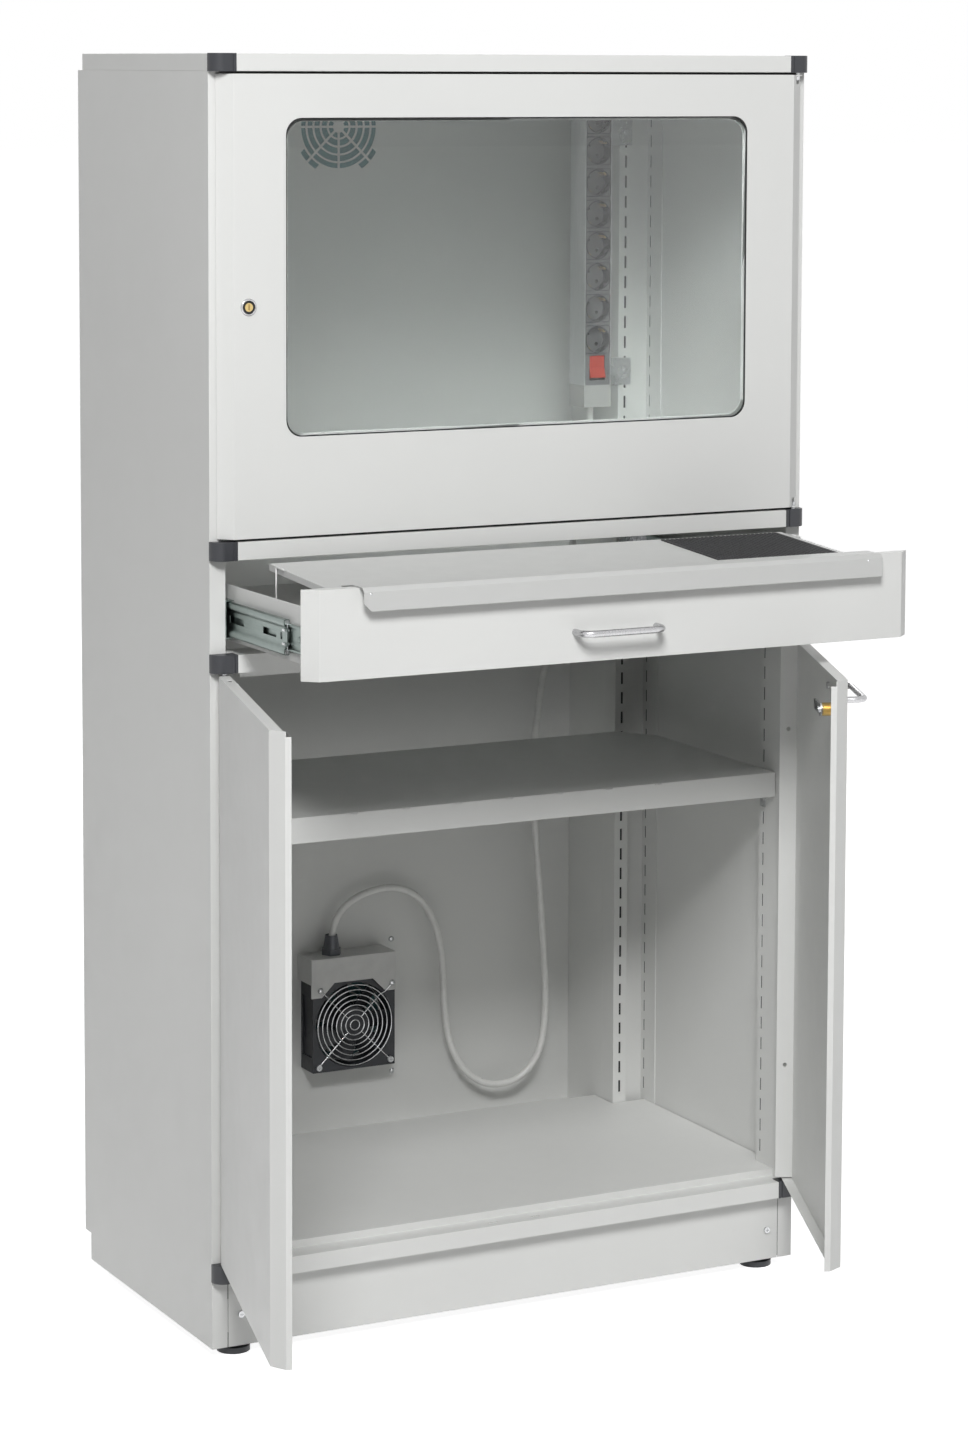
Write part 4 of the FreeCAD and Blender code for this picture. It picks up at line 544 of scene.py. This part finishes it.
def make_slides():
    """The rolled middle and inner members of both slides."""
    look = OWN_LOOK["slide_outer_members"]
    stops = [MIDDLE_FRONT]
    spans = []
    for low, high in SLOT_SPANS:
        stops += [MIDDLE_FRONT + low, MIDDLE_FRONT + high]
        spans += [False, True]
    stops.append(MIDDLE_BACK)
    spans.append(False)
    shape = bmesh.new()
    for side in (-1, 1):
        rolled_member(shape, side, MIDDLE_LINE, stops, spans)
    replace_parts(finished("slide_middle_profiles", shape, look, "slide_middle"),
                "slide_middle_members")
    shape = bmesh.new()
    for side in (-1, 1):
        rolled_member(shape, side, INNER_LINE, [INNER_FRONT, INNER_BACK], [False])
        for y in RIVET_YS:
            lathe(shape, RIVET_HEAD, (side * RIVET_X, y, SLIDE_HEIGHT), (side, 0, 0),
                  sides=20)
    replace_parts(finished("slide_inner_profiles", shape, look, "drawer"),
                "slide_inner_members")


def make_cage_ends():
    """The bent front ends of the ball cages."""
    near, far, tip = CAGE_END_XS
    shape = bmesh.new()
    for side in (-1, 1):
        for sign in (-1, 1):
            for low, high, reach in CAGE_TABS:
                corners = [(near, low), (far, low), (tip, (low + high) / 2), (far, high),
                           (near, high)]
                ends = (MIDDLE_FRONT + CAGE_START, MIDDLE_FRONT + reach + CAGE_FOOT)
                skin(shape, [[shape.verts.new(Vector((side * x, y, SLIDE_HEIGHT + sign * z)) * MM)
                              for x, z in corners] for y in ends])
        wire(shape, [(side * CAGE_WIRE_X, MIDDLE_FRONT + CAGE_WIRE_START, SLIDE_HEIGHT + z)
                     for z in CAGE_WIRE_ZS], radius=0.9)
    finished("cage_ends", shape, MATERIALS["zinc"], "slide_middle")


# ---- fan guard ----

FAN_CENTRE = (5.0, 251.0)
FAN_FACE = 269.5
FAN_CORNER = 52.4
BOX_FRONT = 263.0
WALL_SCREWS = [(77.9, 307.5, 351.1), (79.2, 307.5, 170.6)]

GUARD_RINGS = 8
GUARD_STEP = 6.75
RING_WIRE = 0.8
RING_LIFT = 2.3
LEG_WIRE = 0.85
LEG_LIFT = 0.95
# where a leg starts, starts to bend and lies on its face, from the middle along x and z
LEG_START, LEG_BEND, LEG_LANDING = 9.2, 37, 42
EYELET = 3.4
EYELET_GAP = 2.6
HEAD_LIFT = 1.6


def make_guard():
    """Finger guard of round wire: eight rings, and a leg from each corner screw inwards.
    The two upper legs end on the junction box, which stands in front of the fan."""
    x, z = FAN_CENTRE
    shape = bmesh.new()
    for i in range(1, GUARD_RINGS + 1):
        wire(shape, circle(x, FAN_FACE - RING_LIFT, z, GUARD_STEP * i, steps=72), RING_WIRE,
             closed=True, sides=8)
    heads = bmesh.new()
    for a in (-1, 1):
        for b in (-1, 1):
            u, v = x + a * FAN_CORNER, z + b * FAN_CORNER
            face = BOX_FRONT if b > 0 else FAN_FACE
            wire(shape, [(x + a * LEG_START, FAN_FACE - LEG_LIFT, z + b * LEG_START),
                         (x + a * LEG_BEND, FAN_FACE - LEG_LIFT, z + b * LEG_BEND),
                         (x + a * LEG_LANDING, face - LEG_LIFT, z + b * LEG_LANDING),
                         (u - a * EYELET_GAP, face - LEG_LIFT, v - b * EYELET_GAP)], LEG_WIRE)
            wire(shape, circle(u, face - LEG_LIFT, v, EYELET, steps=24), LEG_WIRE,
                 closed=True, sides=8)
            if b > 0:
                dimple(heads, (u, face - HEAD_LIFT, v), FRONT, radius=3.7, rise=1.8)
    for place in WALL_SCREWS:
        dimple(heads, place, FRONT, radius=3.8, rise=2.2)
    finished("wall_screws", heads, MATERIALS["zinc"], "case")
    guard = finished("guard_wires", shape, zinc_plate("guard_zinc", (0.66, 0.67, 0.68), 0.22),
                     "case")
    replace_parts(guard, "fan_guard")


# ---- locks and rivets ----

# profiles as (radius, height over the door's face)
LOCK_BEZEL = [(8.05, 0.0), (10.0, 0.0), (10.0, 0.6), (9.75, 1.1), (9.2, 1.45), (8.5, 1.5),
              (7.9, 1.25), (7.6, 0.7), (7.5, 0.2), (7.5, -1.0), (8.05, -1.0)]
LOCK_RING = [(7.45, -0.9), (7.45, 0.15), (6.9, 0.45), (5.7, 0.5), (5.15, 0.3), (5.15, -0.9)]
LOCK_NUT = [(8.02, -1.25), (13.2, -1.25), (13.8, -1.8), (13.8, -4.7), (13.2, -5.2),
            (8.02, -5.2)]
BARREL_BORE = 5.15
BARREL_TIP = 7.6
THREAD_TOP = 8.0
THREAD_ROOT = 7.55
THREAD_START = 5.4
THREAD_HALF_PITCH = 0.5
THREADLESS = 6.0

UPPER_LOCK = (-357.0, -208.5, 1240.0)
UPPER_LOCK_DEPTH = 19.7
RIGHT_LOCK = (66.0, -208.5, 771.0)
RIGHT_LOCK_DEPTH = 22.2
RIGHT_HINGE = Vector((385.0, -200.5, 0.0))
RIGHT_OPEN = math.radians(67)

LIP_RIVETS = [(-324.9, -465.4, 938.4), (325.1, -465.4, 938.4)]


def make_lock(name, centre, out, depth, body):
    """Turned bezel with a dark ring inside it, and the barrel with its nut behind."""
    shape = bmesh.new()
    lathe(shape, LOCK_BEZEL, centre, out, sides=48)
    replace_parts(finished(name + "_bezel", shape, MATERIALS["chrome"], body),
                name + "_housing")
    shape = bmesh.new()
    lathe(shape, LOCK_RING, centre, out, sides=48)
    finished(name + "_ring", shape, OWN_LOOK["window_seal"], body)
    shape = bmesh.new()
    threads = []
    for k in range(int(depth - THREADLESS)):
        threads += [(THREAD_TOP, -THREAD_START - k),
                    (THREAD_ROOT, -THREAD_START - THREAD_HALF_PITCH - k)]
    lathe(shape, [(BARREL_BORE, -1.0), (THREAD_TOP, -1.0), (THREAD_TOP, -5.3)] + threads
          + [(BARREL_TIP, -depth), (BARREL_BORE, -depth)], centre, out)
    lathe(shape, LOCK_NUT, centre, out, sides=6)
    finished(name + "_barrel", shape, MATERIALS["brass"], body)


def on_right_door(x, y, z):
    """Where a point of the closed right door stands while that door rests open."""
    turn = Matrix.Rotation(RIGHT_OPEN, 3, "Z")
    return RIGHT_HINGE + turn @ (Vector((x, y, z)) - RIGHT_HINGE)


def make_locks():
    make_lock("upper_lock", UPPER_LOCK, FRONT, UPPER_LOCK_DEPTH, "upper_door")
    make_lock("right_lock", on_right_door(*RIGHT_LOCK),
              on_right_door(*FRONT) - on_right_door(0, 0, 0), RIGHT_LOCK_DEPTH, "right_door")


def make_rivets():
    """A rivet at each end of the tray's lip."""
    shape = bmesh.new()
    for place in LIP_RIVETS:
        dimple(shape, place, FRONT, radius=1.5, rise=0.7)
    finished("lip_rivets", shape, MATERIALS["zinc"], "tray")


# ---- power strip ----

STRIP_X = 302
SOCKET_FACE = 153.5
FIRST_SOCKET = 1160.0
SOCKET_PITCH = 41.1
SOCKETS = 8
MODULE_HALF = 18.2
MODULE_CORNER = 3.0
FRAME_LIFT = 0.3
# the rim and lining of a well, as (radius, height over the strip's face)
WELL_LINER = [(17.6, 0.0), (17.7, 0.75), (17.2, 0.95), (16.6, 0.6), (16.4, -14.6),
              (17.4, -14.6)]


def make_sockets():
    """Square module frames on the strip's face, with a lined well and its rim in each; the lining
    is near black as painted shade in the wells.
    """
    frames = bmesh.new()
    liners = bmesh.new()
    straight = MODULE_HALF - MODULE_CORNER
    for i in range(SOCKETS):
        z = FIRST_SOCKET + SOCKET_PITCH * i
        outline = []
        for a, b in ((1, 1), (-1, 1), (-1, -1), (1, -1)):
            for step in range(5):
                turn = math.atan2(b, a) - math.pi / 4 + math.pi / 8 * step
                outline.append((STRIP_X + a * straight + MODULE_CORNER * math.cos(turn),
                                SOCKET_FACE - FRAME_LIFT,
                                z + b * straight + MODULE_CORNER * math.sin(turn)))
        wire(frames, outline, radius=0.55, closed=True, sides=8)
        lathe(liners, WELL_LINER, (STRIP_X, SOCKET_FACE, z), FRONT, sides=40)
    finished("socket_frames", frames, MATERIALS["black_plastic"], "case")
    # the wells' lining is far darker than the socket's grey plastic: painted shade in the
    # recessed wells
    finished("socket_liners", liners, moulded_plastic("well_shade_plastic", (0.045, 0.046, 0.05), 0.25),
             "case")


# ---- painted shade in the gaps ----

# the rows of slots leave out the height of the drawer and the middle divider
SLOT_HEIGHTS = [z for z in (146.0 + 26.5 * i for i in range(51)) if not 801.0 < z < 985.0]
SLOT_HALF_WIDTH = 1.55
SLOT_HALF_LENGTH = 7.9
PLATE_HALF = 0.12
# x, y and half sizes of the black plate of painted shade behind a slot in each row of slots
SLOT_ROWS = ((398.3, 182.5, PLATE_HALF, SLOT_HALF_WIDTH),
             (358.9, 181.5, SLOT_HALF_WIDTH, PLATE_HALF),
             (381.0, -146.5, PLATE_HALF, SLOT_HALF_WIDTH))
# a black plate behind each gap beside the plinth, as painted shade
PLINTH_SEAM = (379.5, -190.9, 53.0)
PLINTH_SEAM_HALF = (1.6, 0.3, 39.0)

# black strips of painted shade in the gaps above and below the upper door: their x ends, y and
# heights
GAP_SHADE_XS = (384.0, -388.0)
GAP_SHADE_Y = -200.5
GAP_SHADE_HEIGHTS = (970.65, 1508.35)


def make_slot_shade_plates():
    """Painted shade: a black plate just inside the back of each shelf slot's sheet, and black
    plates behind the gaps beside the plinth, where there is only shade."""
    shape = bmesh.new()
    for side in (-1, 1):
        for z in SLOT_HEIGHTS:
            for x, y, half_x, half_y in SLOT_ROWS:
                plate(shape, (side * x, y, z), (half_x, half_y, SLOT_HALF_LENGTH))
        x, y, z = PLINTH_SEAM
        plate(shape, (side * x, y, z), PLINTH_SEAM_HALF)
    finished("slot_shade_plates", shape, MATERIALS["black_rubber"], "case")


def make_gap_shade():
    """Painted shade: black strips in the gaps above and below the upper door, where there is only
    shade, seen as dark lines.
    """
    shape = bmesh.new()
    for z in GAP_SHADE_HEIGHTS:
        wire(shape, [(x, GAP_SHADE_Y, z) for x in GAP_SHADE_XS], radius=1.3)
    finished("door_gap_shade", shape, rubber("gap_shade", (0.01, 0.01, 0.011)),
             "upper_door")


# ---- studio ----

FLOOR_HALF = 60.0
FLOOR_GREY = (0.82, 0.82, 0.82, 1)
FLOOR_GLOW = 0.92
AMBIENT = 0.11
LAMP_AIM = (0.0, 0.0, 0.8)
# name, place, size and watts
LAMPS = (("key", (-1.9, -4.0, 4.2), 1.8, 236.0),
         ("fill", (3.0, -3.5, 1.2), 2.0, 5.0),
         ("rear", (1.5, 4.5, 2.5), 3.0, 60.0))


def seen_directly(tree):
    """1 for camera, glossy and transmission rays that haven't met a matt surface, else 0."""
    path = tree.nodes.new("ShaderNodeLightPath")

    def joined(operation, first, second):
        made = tree.nodes.new("ShaderNodeMath")
        made.operation = operation
        for source, target in zip((first, second), made.inputs):
            if isinstance(source, float):
                target.default_value = source
            else:
                tree.links.new(source, target)
        return made.outputs[0]

    seen = joined("MAXIMUM", path.outputs["Is Camera Ray"], path.outputs["Is Transmission Ray"])
    seen = joined("MAXIMUM", seen, path.outputs["Is Glossy Ray"])
    return joined("MULTIPLY", seen, joined("LESS_THAN", path.outputs["Diffuse Depth"], 0.5))


def light_up(tree, target, unseen, seen):
    """Set a strength: one where it is seen directly, another where it only lights."""
    level = tree.nodes.new("ShaderNodeMapRange")
    level.inputs["To Min"].default_value = unseen
    level.inputs["To Max"].default_value = seen
    tree.links.new(seen_directly(tree), level.inputs["Value"])
    tree.links.new(level.outputs["Result"], target)


def make_world():
    world = bpy.data.worlds.new("studio")
    world.use_nodes = True
    bpy.context.scene.world = world
    background = world.node_tree.nodes["Background"]
    background.inputs["Color"].default_value = (1, 1, 1, 1)
    light_up(world.node_tree, background.inputs["Strength"], AMBIENT, 1.0)


def make_floor():
    mesh = bpy.data.meshes.new("floor")
    corners = [(-1, -1, 0), (1, -1, 0), (1, 1, 0), (-1, 1, 0)]
    mesh.from_pydata([Vector(corner) * FLOOR_HALF for corner in corners], [], [(0, 1, 2, 3)])
    floor = add("floor", mesh)
    material = bpy.data.materials.new("floor")
    material.use_nodes = True
    tree = material.node_tree
    tree.nodes.clear()
    matt = tree.nodes.new("ShaderNodeBsdfDiffuse")
    matt.inputs["Color"].default_value = FLOOR_GREY
    glow = tree.nodes.new("ShaderNodeEmission")
    light_up(tree, glow.inputs["Strength"], 0.0, FLOOR_GLOW)
    both = tree.nodes.new("ShaderNodeAddShader")
    tree.links.new(matt.outputs[0], both.inputs[0])
    tree.links.new(glow.outputs[0], both.inputs[1])
    output = tree.nodes.new("ShaderNodeOutputMaterial")
    tree.links.new(both.outputs[0], output.inputs[0])
    mesh.materials.append(material)


def make_lamp(name, place, size, watts):
    data = bpy.data.lights.new(name, "AREA")
    data.shape = "DISK"
    data.size = size
    data.energy = watts
    lamp = add(name, data)
    way = Vector(LAMP_AIM) - Vector(place)
    lamp.rotation_euler = way.to_track_quat("-Z", "Y").to_euler()
    lamp.location = place


make_camera()
make_cord()
make_slides()
make_cage_ends()
make_guard()
make_locks()
make_rivets()
make_sockets()
make_gap_shade()
make_slot_shade_plates()
dress_nodes()
for name in SHEET_NODES:
    soften(name)
make_world()
make_floor()
for lamp in LAMPS:
    make_lamp(*lamp)

bpy.context.scene.view_settings.view_transform = "Standard"
bpy.context.view_layer.update()
